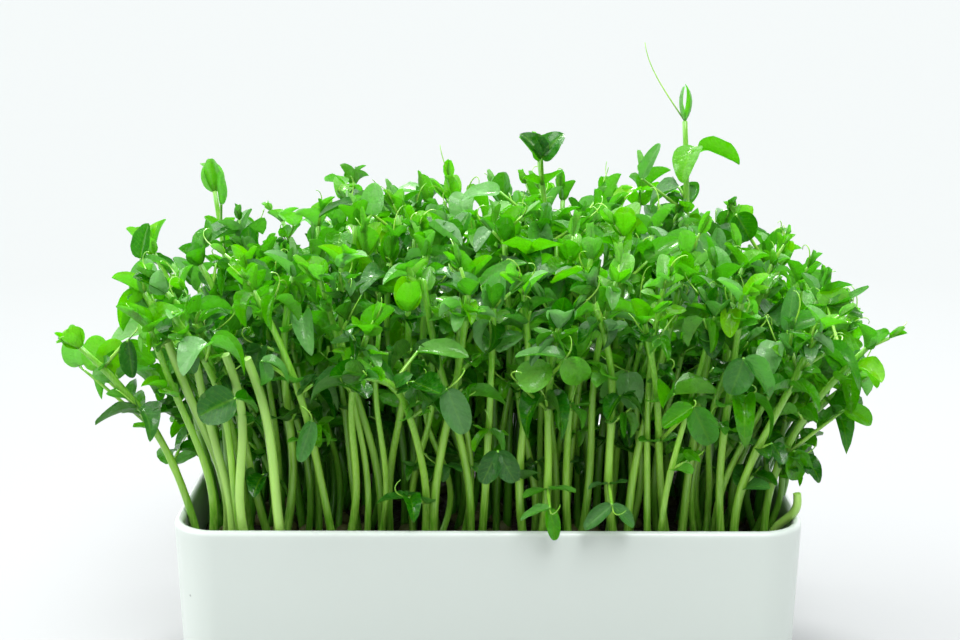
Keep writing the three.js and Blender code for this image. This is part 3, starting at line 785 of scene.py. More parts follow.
def place_leaf(stalk_end, leaflets):
    """Grows a leaf at a given place out of the shoot with the best stalk to it."""
    end = np.array(stalk_end, float)
    nodes = [(shoot, t) for shoot in all_shoots if not shoot.cut for t in PLACED_NODES]
    shoot, t = min(nodes, key=lambda node: stalk_cost(node[0].point(node[1]), end))
    blades = [
        Blade(end, unit(np.array(along, float)), np.array(facing, float), *form)
        for along, facing, *form in leaflets
    ]
    for blade in blades:
        occupy(blade.points(BALL_U, BALL_V), LEAFLET_BALL)
    shoot.grown.append((t, shoot.point(t), end, blades))


for stalk_end, leaflets in PLACED_LEAVES:
    place_leaf(stalk_end, leaflets)
# The tallest shoot ends in a pale pair of narrow leaflets that curl in to each other. For each:
# its lean to the right, length, width, fold, arch, tone and share of grey wax and painted sheen.
CURLED_PAIR = [(-6, 13, 4.5, 0.6, -0.9, 0.8, 0.9), (7, 14, 4.5, 0.7, -1.2, 0.9, 0.6)]
for shoot in all_shoots:
    if shoot.height == TALLEST:
        top = shoot.point(1)
        curled = [
            Blade(top, unit(np.array([lean, 0.0, 10.0])), np.array([-lean, -2.0, 0.0]), *form)
            for lean, *form in CURLED_PAIR
        ]
        shoot.grown = [leaf for leaf in shoot.grown if leaf[0] < 1] + [(1, top, top, curled)]


# ---------------------------------------------------------------------------------------------
# Shoots between the plants
# The tray is sown so thickly that peas lie pea to pea. These are the peas between those of the
# solid model: thinner shoots, whose leaves fill the gaps that the others leave.

BETWEEN_SOWN = 900  # how many peas are tried
BETWEEN_BALL = 0.9
BETWEEN_TIP_ROOM = 0.3
BETWEEN_SWAY = 4
BETWEEN_TRIES = 8
BETWEEN_HEIGHTS = (-32, 2)  # against the canopy
BETWEEN_NODES = (0.4, 0.55, 0.66, 0.76, 0.85, 0.93)
BETWEEN_TIP_SIZE = 0.9
BETWEEN_BACK_REACH = 18
PEA_APART = 5.6  # between the middles of two peas
SOWN_LENGTH = 92  # half the length and width of the ground that is sown
SOWN_WIDTH = 51
# The front is sown thinly and has fewer and smaller leaves low down, which leaves stems in view.
FRONT_THIN_FROM = -26
FRONT_THINNED = 0.65
LOW_LEAVES_THINNED = 0.5
FRONT_LEAF_SIZE = 0.8

# Stems cut at the last harvest at the front left: where the pea lies, where the cut end is to the
# right and to the back, and its height.
CUT_STEMS = [(-75, -48, (-4, -8), 70), (-64, -51, (-8, -7), 69), (-86, -37, (-15, -19), 74)]
CUT_TRIES = 80
CUT_BALL = 0.6
CURTAIN = (5, 9, 13, 17)  # no leaf grows so far in front of a cut stem, which stays in view
CURTAIN_BALL = 2.5

between = []
for x, y, reach, height in CUT_STEMS:
    plant = len(plants + between)
    shoot = Shoot(reach, height, "cut")
    shoot.stem = 2 * plant
    if grow_stem(plant, (x, y), shoot, -math.pi / 2, CUT_TRIES, CUT_BALL, 0):
        between.append((x, y, [shoot]))
for shoot in all_shoots + [shoots[0] for _, _, shoots in between]:
    if shoot.cut:
        for gap in CURTAIN:
            points = [shoot.point(t) - (0, gap, 0) for t in np.linspace(0.4, 1, 12)]
            occupy(np.array(points), CURTAIN_BALL)

for _ in range(BETWEEN_SOWN):
    x = draw(-SOWN_LENGTH, SOWN_LENGTH)
    y = draw(-SOWN_WIDTH, SOWN_WIDTH)
    others = plants + between
    if any(math.hypot(other[0] - x, other[1] - y) < PEA_APART for other in others):
        continue
    if y < FRONT_THIN_FROM and draw(0, 1) < FRONT_THINNED:
        continue
    plant = len(others)
    end = x / ROW_HALF_LENGTH
    stood = []
    for s in (0, 1):
        reach = (
            SIDE_REACH * end ** 3 + draw(-REACH_JITTER, REACH_JITTER),
            BETWEEN_BACK_REACH * (y / SOWN_WIDTH) ** 3 + draw(-REACH_JITTER, REACH_JITTER),
        )
        height = CANOPY_HEIGHT - SHOULDER_DROP * end ** 4 + draw(*BETWEEN_HEIGHTS)
        shoot = Shoot(reach, height, BETWEEN_NODES)
        shoot.stem = 2 * plant + s
        side = 0 if s else math.pi
        room = (BETWEEN_BALL, BETWEEN_TIP_ROOM, BETWEEN_SWAY)
        if grow_stem(plant, (x, y), shoot, side, BETWEEN_TRIES, *room):
            stood.append(shoot)
    if stood:
        between.append((x, y, stood))
between_shoots = [shoot for _, _, shoots in between for shoot in shoots]
for shoot in between_shoots:
    if not shoot.cut:
        grow_leaf(shoot, lambda scale: try_tip(shoot, scale), LEAFLET_BALL, BETWEEN_TIP_SIZE)

# Then every shoot but the tall ones grows the leaves that its solid leaves out, where there is
# still room.
LATE_NODES = (0.5, 0.71, 0.88, 0.94)
NODES_APART = 0.04
LATE_SIZE = (0.7, 1.05)
HANG = 1.1
HIGH_FROM = 0.8  # the share of a shoot's height from which its stalks are raised
RAISED = 1.2
for shoot in all_shoots:
    shoot.leaves = []
    if not shoot.cut and shoot.height < CANOPY_HEIGHT + HEIGHT_JITTER:
        taken = [leaf[0] for leaf in shoot.grown]
        shoot.leaves = [t for t in LATE_NODES if all(abs(t - node) > NODES_APART for node in taken)]
for shoot in all_shoots + between_shoots:
    first_heading = draw(0, 2 * math.pi)
    in_front = shoot.root[1] < FRONT_THIN_FROM
    for k, t in enumerate(reversed(shoot.leaves)):
        heading = first_heading + k * math.pi
        if in_front and t < HIGH_FROM and draw(0, 1) < LOW_LEAVES_THINNED:
            continue
        if in_front:
            heading = -math.pi / 2 + (1 if k % 2 else -1) * draw(0.2, 1.4)
        node = t + draw(-0.03, 0.03)
        size = draw(*LATE_SIZE) * (FRONT_LEAF_SIZE if in_front else 1)
        form = (HANG, RAISED if t > HIGH_FROM else 0)
        grow_leaf(shoot, lambda scale: try_leaf(shoot, node, heading, scale, *form), LEAFLET_BALL, size)


# ---------------------------------------------------------------------------------------------
# Peas
# Dried green peas that swelled up as they sprouted. They lie half sunk in the coir, dull and a
# little wrinkled.

PEA_RADIUS = 3.4
PEA_FLATNESS = 0.95  # its height against its width
PEA_DIMPLE = 0.8  # how high the middle of its top lies, as a share of its radius
PEA_WRINKLE = 0.04
PEA_RINGS = 9
PEA_SIDES = 14


class Skins:
    """Gathers the closed skins of one piece, with what tells its colours apart."""

    def __init__(self):
        self.points = []
        self.faces = []
        self.materials = []  # of each face
        self.tones = []  # of each face: on a leaf 0 is old and dark and 1 young and light, partly painted light at the tray's ends; on a stem 0 is painted shade
        self.waxes_and_sheens = []  # of each face: how thickly it is covered by grey wax and painted sheen
        self.undersides = []  # of each face
        self.along = []  # of each point: from base to tip
        self.aside = []  # of each point: across, from -1 to 1, or round a stem
        self.count = 0

    def add(
        self, points, faces, material, tone=0.5, undersides=None, along=None, aside=None, wax_and_sheen=0.0
    ):
        """Adds one closed skin, all of one material and tone."""
        self.points.append(points)
        self.faces += [tuple(index + self.count for index in face) for face in faces]
        self.materials += [material] * len(faces)
        self.tones += [tone] * len(faces)
        self.waxes_and_sheens += [wax_and_sheen] * len(faces)
        self.undersides += undersides or [0.0] * len(faces)
        self.along.append(np.zeros(len(points)) if along is None else along)
        self.aside.append(np.zeros(len(points)) if aside is None else aside)
        self.count += len(points)

    def finish(self, name, materials, slot, replaced=()):
        """Makes the piece, and gives its mesh the values that its materials read."""
        points = np.concatenate(self.points)
        mesh = add_piece(name, points, self.faces, materials, slot, replaced, smooth_angle=70).data
        mesh.polygons.foreach_set("material_index", self.materials)
        for attribute, domain, values in (
            ("tone", "FACE", self.tones),
            ("underside", "FACE", self.undersides),
            ("wax_and_sheen", "FACE", self.waxes_and_sheens),
            ("along", "POINT", np.concatenate(self.along)),
            ("aside", "POINT", np.concatenate(self.aside)),
        ):
            mesh.attributes.new(attribute, "FLOAT", domain).data.foreach_set("value", values)


STEM_SKIN, LEAF_SKIN, PEA_SKIN = 0, 1, 2  # the material slots of a plant


def add_pea(skins, x, y, size):
    """A pea: a ball with a dimple, slightly flattened, and wrinkled by formula."""
    points = [(x, y, PEA_HEIGHT - PEA_RADIUS * size * PEA_FLATNESS)]
    for ring in range(1, PEA_RINGS):
        polar = math.pi * ring / PEA_RINGS
        for side in range(PEA_SIDES):
            angle = 2 * math.pi * side / PEA_SIDES
            wrinkle = PEA_WRINKLE * (math.sin(5 * angle + 3 * polar + x) * math.sin(polar) - 1)
            radius = PEA_RADIUS * size * (1 + wrinkle)
            points.append((
                x + radius * math.sin(polar) * math.cos(angle),
                y + radius * math.sin(polar) * math.sin(angle),
                PEA_HEIGHT - radius * PEA_FLATNESS * math.cos(polar),
            ))
    points.append((x, y, PEA_HEIGHT + PEA_RADIUS * size * PEA_DIMPLE))
    faces = []
    last = len(points) - 1
    for side in range(PEA_SIDES):
        beside = (side + 1) % PEA_SIDES
        faces.append((0, 1 + beside, 1 + side))
        for ring in range(PEA_RINGS - 2):
            start = 1 + ring * PEA_SIDES
            above = start + PEA_SIDES
            faces.append((start + side, start + beside, above + beside, above + side))
        start = 1 + (PEA_RINGS - 2) * PEA_SIDES
        faces.append((start + side, start + beside, last))
    skins.add(np.array(points), faces, PEA_SKIN)


seed_coat = bpy.data.materials.new("dried green pea seed coat")
seed_coat.use_nodes = True
tree = seed_coat.node_tree
shader = tree.nodes["Principled BSDF"]
shader.inputs["Roughness"].default_value = 0.6
shader.inputs["IOR"].default_value = 1.45
place = add_node(tree, "ShaderNodeTexCoord")
stains = add_node(
    tree, "ShaderNodeTexNoise", {"Scale": 1 / (2.5 * MM), "Detail": 4.0}, {"Vector": (place, "Object")}
)
coat_colour = add_node(
    tree, "ShaderNodeMix", {MIX_A: linear("#3c481c"), MIX_B: linear("#646034")},
    {"Factor": (stains, "Fac")}, data_type="RGBA",
)
tree.links.new(coat_colour.outputs[MIX_RESULT], shader.inputs["Base Color"])
coat_wrinkles = add_node(
    tree, "ShaderNodeBump", {"Strength": 0.5, "Distance": 0.2 * MM}, {"Height": (stains, "Fac")}
)
tree.links.new(coat_wrinkles.outputs["Normal"], shader.inputs["Normal"])


# ---------------------------------------------------------------------------------------------
# Stems, stalks and tendrils
# Juicy, pale green stems, a little square, with a swelling at each node. Leaf stalks and tendrils
# are thinner runs of the same skin. A few stems end in a clean cut from the last harvest.

STEM_RADIUS = 1.45
STEM_TAPER = 0.38
CUT_TAPER = 0.114  # a cut stem has lost its thin upper end
STEM_SQUARENESS = 0.05
STEM_SIDES = 8
STEM_RINGS = 20
NODE_SWELLING = 0.16
NODE_LENGTH = 2.2
STEM_DOME = 0.6  # how far a stem's end is domed, as a share of its radius
CUT_DOME = 0.15
LIT_FROM = 15  # how far in front of the tray's middle the light begins to reach the stems
LIT_OVER = 60


def add_tube(skins, middle, radii, sides, tone, turn=0.0, squareness=0.0, dome=STEM_DOME):
    """A closed tube along a line of points, with a low dome at each end."""
    middle = np.array(middle)
    ways = np.gradient(middle, axis=0)
    side = unit(np.cross(ways[0], (0.31, 0.95, 0.05)))
    angles = turn + np.arange(sides) / sides * 2 * np.pi
    swell = 1 + squareness * np.cos(4 * (angles - turn))
    rings = []
    for centre, way, radius in zip(middle, ways, radii):
        way = unit(way)
        side = unit(side - way * (side @ way))
        lift = np.cross(way, side)
        round_way = np.cos(angles)[:, None] * side + np.sin(angles)[:, None] * lift
        rings.append(centre + radius * swell[:, None] * round_way)
    first = middle[0] - unit(ways[0]) * radii[0] * dome
    last = middle[-1] + unit(ways[-1]) * radii[-1] * dome
    points = np.concatenate(rings + [[first, last]])
    count = len(middle) * sides
    faces = []
    for j in range(sides):
        beside = (j + 1) % sides
        faces.append((count, beside, j))
        for start in range(0, count - sides, sides):
            faces.append((start + j, start + beside, start + sides + beside, start + sides + j))
        faces.append((count + 1, count - sides + j, count - sides + beside))
    along = np.concatenate([np.repeat(np.linspace(0, 1, len(middle)), sides), [0, 1]])
    aside = np.concatenate([np.tile(np.arange(sides) / sides, len(middle)), [0, 0]])
    skins.add(points, faces, STEM_SKIN, tone, None, along, aside)


def add_stem(skins, shoot, thickness):
    """The stem of a shoot, thicker at its nodes. Its tone is 0 in the others' shade, up to 0.5 at
    the front, and 1 where it was cut."""
    shares = np.linspace(0, 1, STEM_RINGS)
    radii = STEM_RADIUS * thickness * (1 - (CUT_TAPER if shoot.cut else STEM_TAPER) * shares)
    for t, *_ in shoot.grown:
        if t < 1:
            radii *= 1 + NODE_SWELLING * np.exp(-(((shares - t) * shoot.height / NODE_LENGTH) ** 2))
    middle = [shoot.point(t) for t in shares]
    tone = 1.0 if shoot.cut else min(max((-shoot.root[1] - LIT_FROM) / LIT_OVER, 0.0), 0.5)
    dome = CUT_DOME if shoot.cut else STEM_DOME
    add_tube(skins, middle, radii, STEM_SIDES, tone, shoot.turn, STEM_SQUARENESS, dome)


TENDRIL_RADIUS = 0.3
TENDRIL_TAPER = 0.55
TENDRIL_SIDES = 4
TENDRIL_STEPS = 12
TENDRIL_TONE = 0.8


def add_tendril(skins, start, way, length, curl):
    """A tendril that leaves along way and curls up more and more tightly, by curl radians in all."""
    axis = unit(np.cross(way, (draw(-1, 1), draw(-1, 1), 0.6)))
    shares = np.arange(TENDRIL_STEPS + 1) / TENDRIL_STEPS
    middle = [np.array(start)]
    for share in shares[:-1]:
        angle = 3 * curl * share ** 2 / TENDRIL_STEPS
        way = way * math.cos(angle) + np.cross(axis, way) * math.sin(angle)
        middle.append(middle[-1] + unit(way) * length / TENDRIL_STEPS)
    radii = TENDRIL_RADIUS * (1 - TENDRIL_TAPER * shares)
    add_tube(skins, middle, radii, TENDRIL_SIDES, TENDRIL_TONE)


stem_skin = bpy.data.materials.new("pale juicy pea stem")
stem_skin.use_nodes = True
tree = stem_skin.node_tree
shader = tree.nodes["Principled BSDF"]
shader.inputs["IOR"].default_value = 1.42
# A taut wet skin, in which the lights stand as a pale streak along the stem.
shader.inputs["Coat Weight"].default_value = 0.7
shader.inputs["Coat Roughness"].default_value = 0.22
# Light sinks a millimetre or so into the watery flesh.
shader.inputs["Subsurface Weight"].default_value = 0.25
shader.inputs["Subsurface Radius"].default_value = (0.9, 1.0, 0.35)
shader.inputs["Subsurface Scale"].default_value = 1.0 * MM
place = add_node(tree, "ShaderNodeTexCoord")
lengthwise = add_node(
    tree, "ShaderNodeMapping", {"Scale": (1.0, 1.0, 0.06)}, {"Vector": (place, "Object")}
)
fibres = add_node(
    tree, "ShaderNodeTexNoise", {"Scale": 1 / (0.5 * MM), "Detail": 2.0},
    {"Vector": (lengthwise, "Vector")},
)
height_share = add_node(tree, "ShaderNodeAttribute", attribute_name="along")
stem_light = add_node(tree, "ShaderNodeAttribute", attribute_name="tone")
# Painted shade darkens each stem by the soil, where the rim and the other stems shade it; above that it
# is palest two fifths of the way up and fresh green at the tip.
stem_colour_and_base_shade = add_node(tree, "ShaderNodeValToRGB", {}, {"Fac": (height_share, "Fac")})
stem_colour_and_base_shade.color_ramp.elements[0].color = linear("#2a5c04")
stem_colour_and_base_shade.color_ramp.elements[1].color = linear("#60b414")
for position, colour in ((0.13, "#529210"), (0.4, "#92cc3c")):
    stem_colour_and_base_shade.color_ramp.elements.new(position).color = linear(colour)
fibre_share = add_node(
    tree, "ShaderNodeMapRange", {"From Min": 0.35, "From Max": 0.75, "To Max": 0.4},
    {"Value": (fibres, "Fac")},
)
ribbed = add_node(
    tree, "ShaderNodeMix", {MIX_B: linear("#bce070")},
    {"Factor": (fibre_share, "Result"), MIX_A: (stem_colour_and_base_shade, "Color")}, data_type="RGBA",
)
# Painted shade: stems that stand in the others' shade are painted a deep green on their lower part.
shade = add_node(
    tree, "ShaderNodeMapRange", {"From Max": 0.5, "To Min": 0.9, "To Max": 0.0},
    {"Value": (stem_light, "Fac")},
)
low_down = add_node(
    tree, "ShaderNodeMapRange", {"From Min": 0.5, "From Max": 0.85, "To Min": 1.0, "To Max": 0.0},
    {"Value": (height_share, "Fac")},
)
shaded = add_node(
    tree, "ShaderNodeMath", {}, {0: (shade, "Result"), 1: (low_down, "Result")}, operation="MULTIPLY"
)
stem_colour = add_node(
    tree, "ShaderNodeMix", {MIX_B: linear("#3a8806")},
    {"Factor": (shaded, "Value"), MIX_A: (ribbed, MIX_RESULT)}, data_type="RGBA",
)
# Cut stems bleach.
bleached = add_node(
    tree, "ShaderNodeMapRange", {"From Min": 0.85, "To Max": 0.8}, {"Value": (stem_light, "Fac")}
)
bleached_colour = add_node(
    tree, "ShaderNodeMix", {MIX_B: linear("#a8d468")},
    {"Factor": (bleached, "Result"), MIX_A: (stem_colour, MIX_RESULT)}, data_type="RGBA",
)
tree.links.new(bleached_colour.outputs[MIX_RESULT], shader.inputs["Base Color"])
wetness = add_node(
    tree, "ShaderNodeMapRange", {"To Min": 0.32, "To Max": 0.5}, {"Value": (fibres, "Fac")}
)
tree.links.new(wetness.outputs["Result"], shader.inputs["Roughness"])
stem_ribs = add_node(
    tree, "ShaderNodeBump", {"Strength": 0.25, "Distance": 0.12 * MM}, {"Height": (fibres, "Fac")}
)
tree.links.new(stem_ribs.outputs["Normal"], shader.inputs["Normal"])


# ---------------------------------------------------------------------------------------------
# Leaves
# Thin oval leaflets in pairs, folded along the midrib and rippled at the margin, and smaller
# leafy bracts that clasp each node. They are waxy, darker above than below and feather-veined, and
# light from behind shines through them yellow-green.

LEAF_THICKNESS = 0.28
ROUNDNESS = 0.44  # of the outline: the less, the blunter the ends


class LeafGrid:
    """The grid of a leaflet's thin shell: its upper side, then the inner points of its underside.
    The two share the margin. Rows crowd towards the ends, where the outline is rounder."""

    def __init__(self, rows, columns):
        row_u = (1 - np.cos(np.pi * np.arange(1, rows) / rows)) / 2
        column_v = np.linspace(-1, 1, columns + 1)
        upper_u = np.concatenate([[0], np.repeat(row_u, columns + 1), [1]])
        upper_v = np.concatenate([[0], np.tile(column_v, rows - 1), [0]])
        self.u = np.concatenate([upper_u, np.repeat(row_u, columns - 1)])
        self.v = np.concatenate([upper_v, np.tile(column_v[1:-1], rows - 1)])
        self.is_lower = np.arange(len(self.u)) >= len(upper_u)

        def upper(row, column):
            if row in (0, rows):
                return 0 if row == 0 else len(upper_u) - 1
            return 1 + (row - 1) * (columns + 1) + column

        def lower(row, column):
            if row in (0, rows) or column in (0, columns):
                return upper(row, column)
            return len(upper_u) + (row - 1) * (columns - 1) + column - 1

        self.faces = []
        self.undersides = []
        for row in range(rows):
            for column in range(columns):
                corners = ((row, column), (row + 1, column), (row + 1, column + 1), (row, column + 1))
                for side, index_at in enumerate((upper, lower)):
                    face = list(dict.fromkeys(index_at(*corner) for corner in corners))
                    self.faces.append(tuple(reversed(face) if side else face))
                    self.undersides.append(float(side))


FINE_GRID = LeafGrid(11, 6)
PLAIN_GRID = LeafGrid(7, 4)
BRACT_GRID = LeafGrid(5, 4)


def add_blade(skins, blade, tone, wax_and_sheen, grid, flutter=1.0):
    """One leaflet as a thin closed shell, with its own ripple, cup and twist."""
    u, v = grid.u, grid.v
    width = np.abs(np.sin(np.pi * u ** 0.8)) ** ROUNDNESS * blade.width / 2
    phase = draw(0, 6) + np.sign(v) * draw(0, 2)
    ripple = draw(0.1, 0.7) * np.sin(draw(5, 11) * u + phase) * np.abs(v) ** 2
    quilt = draw(0.1, 0.3) * np.sin(draw(14, 20) * u - 4 * np.abs(v)) * np.abs(v)
    cup = draw(-1.6, 0.1) * blade.fold * width * np.abs(v) * (1 - np.abs(v))
    twist = draw(-0.5, 0.5) * u * v * width
    rise = flutter * (ripple + quilt + cup + twist) * np.sin(np.pi * u) ** 0.5
    rise = rise - grid.is_lower * LEAF_THICKNESS * (1 - np.abs(v) ** 4)
    points = blade.points(u, v, ROUNDNESS) + rise[:, None] * blade.normal
    skins.add(points, grid.faces, LEAF_SKIN, tone, grid.undersides, u, v, wax_and_sheen)


YOUTH = 0.1  # how much lighter in tone a shoot's next younger leaf is
SUNNY_FROM = 80  # from the tray's middle towards its ends
SUNNY_OVER = 40
SHEEN_FROM = 0.75  # lower down, in the canopy's shade, most of the painted sheen is left off
SHADED_SHEEN = 0.25
SMALL_BELOW = 0.6  # the share of a shoot's height below which its leaves stayed small
SMALL = 0.75


def leaf_tone(x, z, youth):
    """Leaves are darker low down, where they are older, lighter at both ends of the tray as painted
    light where more light reaches them, and no two are quite alike."""
    grown_up = (z - PEA_HEIGHT) / CANOPY_HEIGHT
    painted_end_light = min(max((abs(x) - SUNNY_FROM) / SUNNY_OVER, 0), 1)
    return min(max(0.12 + 0.37 * grown_up + 0.3 * painted_end_light + youth + draw(-0.42, 0.42), 0), 1)


def vary_blade(blade, tone, t):
    """Gives a leaflet its own form and colour by how far up the shoot it grows: the youngest are
    folded most, and the lowest stayed small."""
    blade.tone = min(max(tone + draw(-0.1, 0.1), 0), 1)
    # Painted sheen: the upper leaves, lit by the bright sky, get more of the pale wax colour than the
    # shaded ones lower down.
    blade.wax_and_sheen = max(draw(-1.6, 1.0), 0) * (1.0 if t > SHEEN_FROM else SHADED_SHEEN)
    if t == 1:
        blade.fold = draw(0.5, 0.92)
        blade.arch = draw(-0.5, 0.9)
        blade.length *= draw(0.85, 1.15)
        blade.width *= draw(1.05, 1.35)
    else:
        blade.fold = min(blade.fold + draw(0.05, 0.6), 0.93)
        blade.arch += draw(-0.5, 1.1)
        small = SMALL if t < SMALL_BELOW else 1
        blade.width *= small * draw(1.1, 1.35)
        blade.length *= small * draw(0.85, 1.0)


STALK_RADIUS = 0.62
STALK_SIDES = 6
STALK_RINGS = 7
FIRST_TENDRIL_SHARE = 0.6  # of the young pairs
TENDRIL_SHARE = 0.4  # of the grown leaves
BRACT_LENGTH = 9
BRACT_WIDTH = 0.62  # of its length


def add_next_leaf(skins, tip, way, size, tone):
    """The next leaf, which comes out of the young pair's fold on a short stalk: a closed pair, and
    often the first tendril."""
    lean = unit(way + (draw(-0.9, 0.9), draw(-0.9, 0.9), 0))
    head = tip + lean * draw(3, 9)
    add_tube(skins, [tip, (tip + head) / 2, head], STALK_RADIUS * np.array([1, 0.9, 0.8]), 5, 0.8)
    sideways = unit(np.cross(UP, lean))
    for side in (-1, 1):
        along = unit(lean * draw(0.9, 1.4) + sideways * side * draw(0.1, 0.45))
        facing = UP * draw(0, 1) - sideways * side
        form = (draw(0.5, 0.85) * size, draw(0.32, 0.5) * size, draw(0.7, 0.93), draw(-0.6, 0.9))
        bud = Blade(head, along, facing, *form)
        add_blade(skins, bud, min(tone + YOUTH, 1), draw(0, 0.4), BRACT_GRID, 0.4)
    if draw(0, 1) < FIRST_TENDRIL_SHARE:
        way = unit(lean + (draw(-0.4, 0.4), draw(-0.4, 0.4), 0))
        add_tendril(skins, head, way, draw(6, 16), draw(1, 4))


def add_stalk(skins, start, end):
    """A leaf's stalk, which sags or bows up a little."""
    bow = (start + end) / 2 + UP * draw(-0.4, 0.8)
    shares = np.linspace(0, 1, STALK_RINGS)
    middle = [(1 - t) ** 2 * start + 2 * t * (1 - t) * bow + t ** 2 * end for t in shares]
    add_tube(skins, middle, STALK_RADIUS * (1.1 - 0.3 * shares), STALK_SIDES, 0.6)


def add_bracts(skins, node, outward, way, tone):
    """The two leafy bracts that clasp the stem where a stalk starts."""
    sideways = unit(np.cross(UP, outward))
    for side in (-1, 1):
        along = unit(outward * 0.5 + way * draw(0.1, 0.7) + sideways * side * draw(0.6, 1.1))
        base = node + STEM_RADIUS * (0.5 * outward + 0.4 * sideways * side)
        length = BRACT_LENGTH * draw(0.7, 1.15)
        form = (length, BRACT_WIDTH * length, 0.3, draw(0.2, 0.8))
        bract = Blade(base, along, way - outward * 0.4, *form)
        add_blade(skins, bract, min(tone + YOUTH, 1), draw(0, 0.3), BRACT_GRID)


def add_leaf(skins, shoot, leaf, grid):
    """A pair of leaflets and what goes with it: the next leaf if the pair is young, and otherwise
    its stalk, two bracts and often a tendril. The tallest tip has only its own long tendril."""
    t, start, end, blades = leaf
    young = t == 1
    size = blades[0].length
    tone = leaf_tone(end[0], end[2], YOUTH if young else 0.0)
    for blade in blades:
        if blade.tone is None:
            vary_blade(blade, tone, t)
        add_blade(skins, blade, blade.tone, blade.wax_and_sheen, grid, 0.6 if young else 1.0)
    way = shoot.tangent(t)
    if young:
        if shoot.height < TALLEST:
            add_next_leaf(skins, end, way, size, tone)
        return
    add_stalk(skins, start, end)
    outward = unit(end - start)
    if draw(0, 1) < TENDRIL_SHARE:
        add_tendril(skins, end, outward, draw(4, 15), draw(1, 6))
    add_bracts(skins, start, outward, way, tone)


leaf_skin = bpy.data.materials.new("waxy pea leaf")
leaf_skin.use_nodes = True
tree = leaf_skin.node_tree
shader = tree.nodes["Principled BSDF"]
shader.inputs["IOR"].default_value = 1.45
# What the green flesh mirrors under the wax is green as well.
shader.inputs["Specular Tint"].default_value = linear("#c4ff90")
# The wax is a smooth coat over the duller skin. The light that shines through takes more than
# half of the mix below, so that the coat has to shine more than wax does, which has an IOR of 1.45.
shader.inputs["Coat Weight"].default_value = 0.8
shader.inputs["Coat IOR"].default_value = 1.55
shader.inputs["Coat Roughness"].default_value = 0.14
place = add_node(tree, "ShaderNodeTexCoord")
tone = add_node(tree, "ShaderNodeAttribute", attribute_name="tone")
underside = add_node(tree, "ShaderNodeAttribute", attribute_name="underside")
along = add_node(tree, "ShaderNodeAttribute", attribute_name="along")
aside = add_node(tree, "ShaderNodeAttribute", attribute_name="aside")

# From the old leaves low down to the young ones at the tips.
ramp = add_node(tree, "ShaderNodeValToRGB", {}, {"Fac": (tone, "Fac")})
ramp.color_ramp.elements[0].color = linear("#026404")
ramp.color_ramp.elements[1].color = linear("#8ed408")
for position, colour in ((0.3, "#228a00"), (0.6, "#5cb800")):
    ramp.color_ramp.elements.new(position).color = linear(colour)

# Side veins leave the midrib forwards, seven to a half, and fade out before the margin.
from_midrib = add_node(tree, "ShaderNodeMath", {}, {0: (aside, "Fac")}, operation="ABSOLUTE")
slant = add_node(tree, "ShaderNodeMath", {1: -0.3}, {0: (from_midrib, "Value")}, operation="MULTIPLY")
veined = add_node(
    tree, "ShaderNodeMath", {}, {0: (along, "Fac"), 1: (slant, "Value")}, operation="ADD"
)
vein_count = add_node(tree, "ShaderNodeMath", {1: 7.0}, {0: (veined, "Value")}, operation="MULTIPLY")
to_vein = add_node(
    tree, "ShaderNodeMath", {1: 0.5}, {0: (vein_count, "Value")}, operation="PINGPONG"
)
side_veins = add_node(
    tree, "ShaderNodeMapRange", {"From Min": 0.0, "From Max": 0.13, "To Min": 0.75, "To Max": 0.0},
    {"Value": (to_vein, "Value")},
)
fade = add_node(
    tree, "ShaderNodeMapRange", {"From Min": 0.55, "From Max": 0.95, "To Min": 1.0, "To Max": 0.0},
    {"Value": (from_midrib, "Value")},
)
fading_veins = add_node(
    tree, "ShaderNodeMath", {}, {0: (side_veins, "Result"), 1: (fade, "Result")}, operation="MULTIPLY"
)
midrib = add_node(
    tree, "ShaderNodeMapRange", {"From Min": 0.03, "From Max": 0.13, "To Min": 1.0, "To Max": 0.0},
    {"Value": (from_midrib, "Value")},
)
veins = add_node(
    tree, "ShaderNodeMath", {}, {0: (fading_veins, "Value"), 1: (midrib, "Result")}, operation="MAXIMUM"
)
# The net between the veins, about 1 mm across.
net_cells = add_node(
    tree, "ShaderNodeTexVoronoi", {"Scale": 1 / (1.1 * MM)}, {"Vector": (place, "Object")},
    feature="DISTANCE_TO_EDGE",
)
net = add_node(
    tree, "ShaderNodeMapRange", {"From Max": 0.09, "To Min": 0.3, "To Max": 0.0},
    {"Value": (net_cells, "Distance")},
)
all_veins = add_node(
    tree, "ShaderNodeMath", {}, {0: (veins, "Value"), 1: (net, "Result")}, operation="MAXIMUM"
)
# The underside is paler, and so are the veins.
paleness = add_node(
    tree, "ShaderNodeMath", {1: 0.38}, {0: (underside, "Fac")}, operation="MULTIPLY"
)
pale_side = add_node(
    tree, "ShaderNodeMix", {MIX_B: linear("#88c058")},
    {"Factor": (paleness, "Value"), MIX_A: (ramp, "Color")}, data_type="RGBA",
)
vein_share = add_node(
    tree, "ShaderNodeMath", {1: 0.3}, {0: (all_veins, "Value")}, operation="MULTIPLY"
)
with_veins = add_node(
    tree, "ShaderNodeMix", {MIX_B: linear("#90d00c")},
    {"Factor": (vein_share, "Value"), MIX_A: (pale_side, MIX_RESULT)}, data_type="RGBA",
)
# Silvery flecks of air under the skin, 2 to 3 mm across.
fleck_noise = add_node(
    tree, "ShaderNodeTexNoise", {"Scale": 1 / (2.5 * MM), "Detail": 3.0}, {"Vector": (place, "Object")}
)
flecks = add_node(
    tree, "ShaderNodeMapRange", {"From Min": 0.52, "From Max": 0.75, "To Max": 0.2},
    {"Value": (fleck_noise, "Fac")},
)
flecked = add_node(
    tree, "ShaderNodeMix", {MIX_B: linear("#64c010")},
    {"Factor": (flecks, "Result"), MIX_A: (with_veins, MIX_RESULT)}, data_type="RGBA",
)
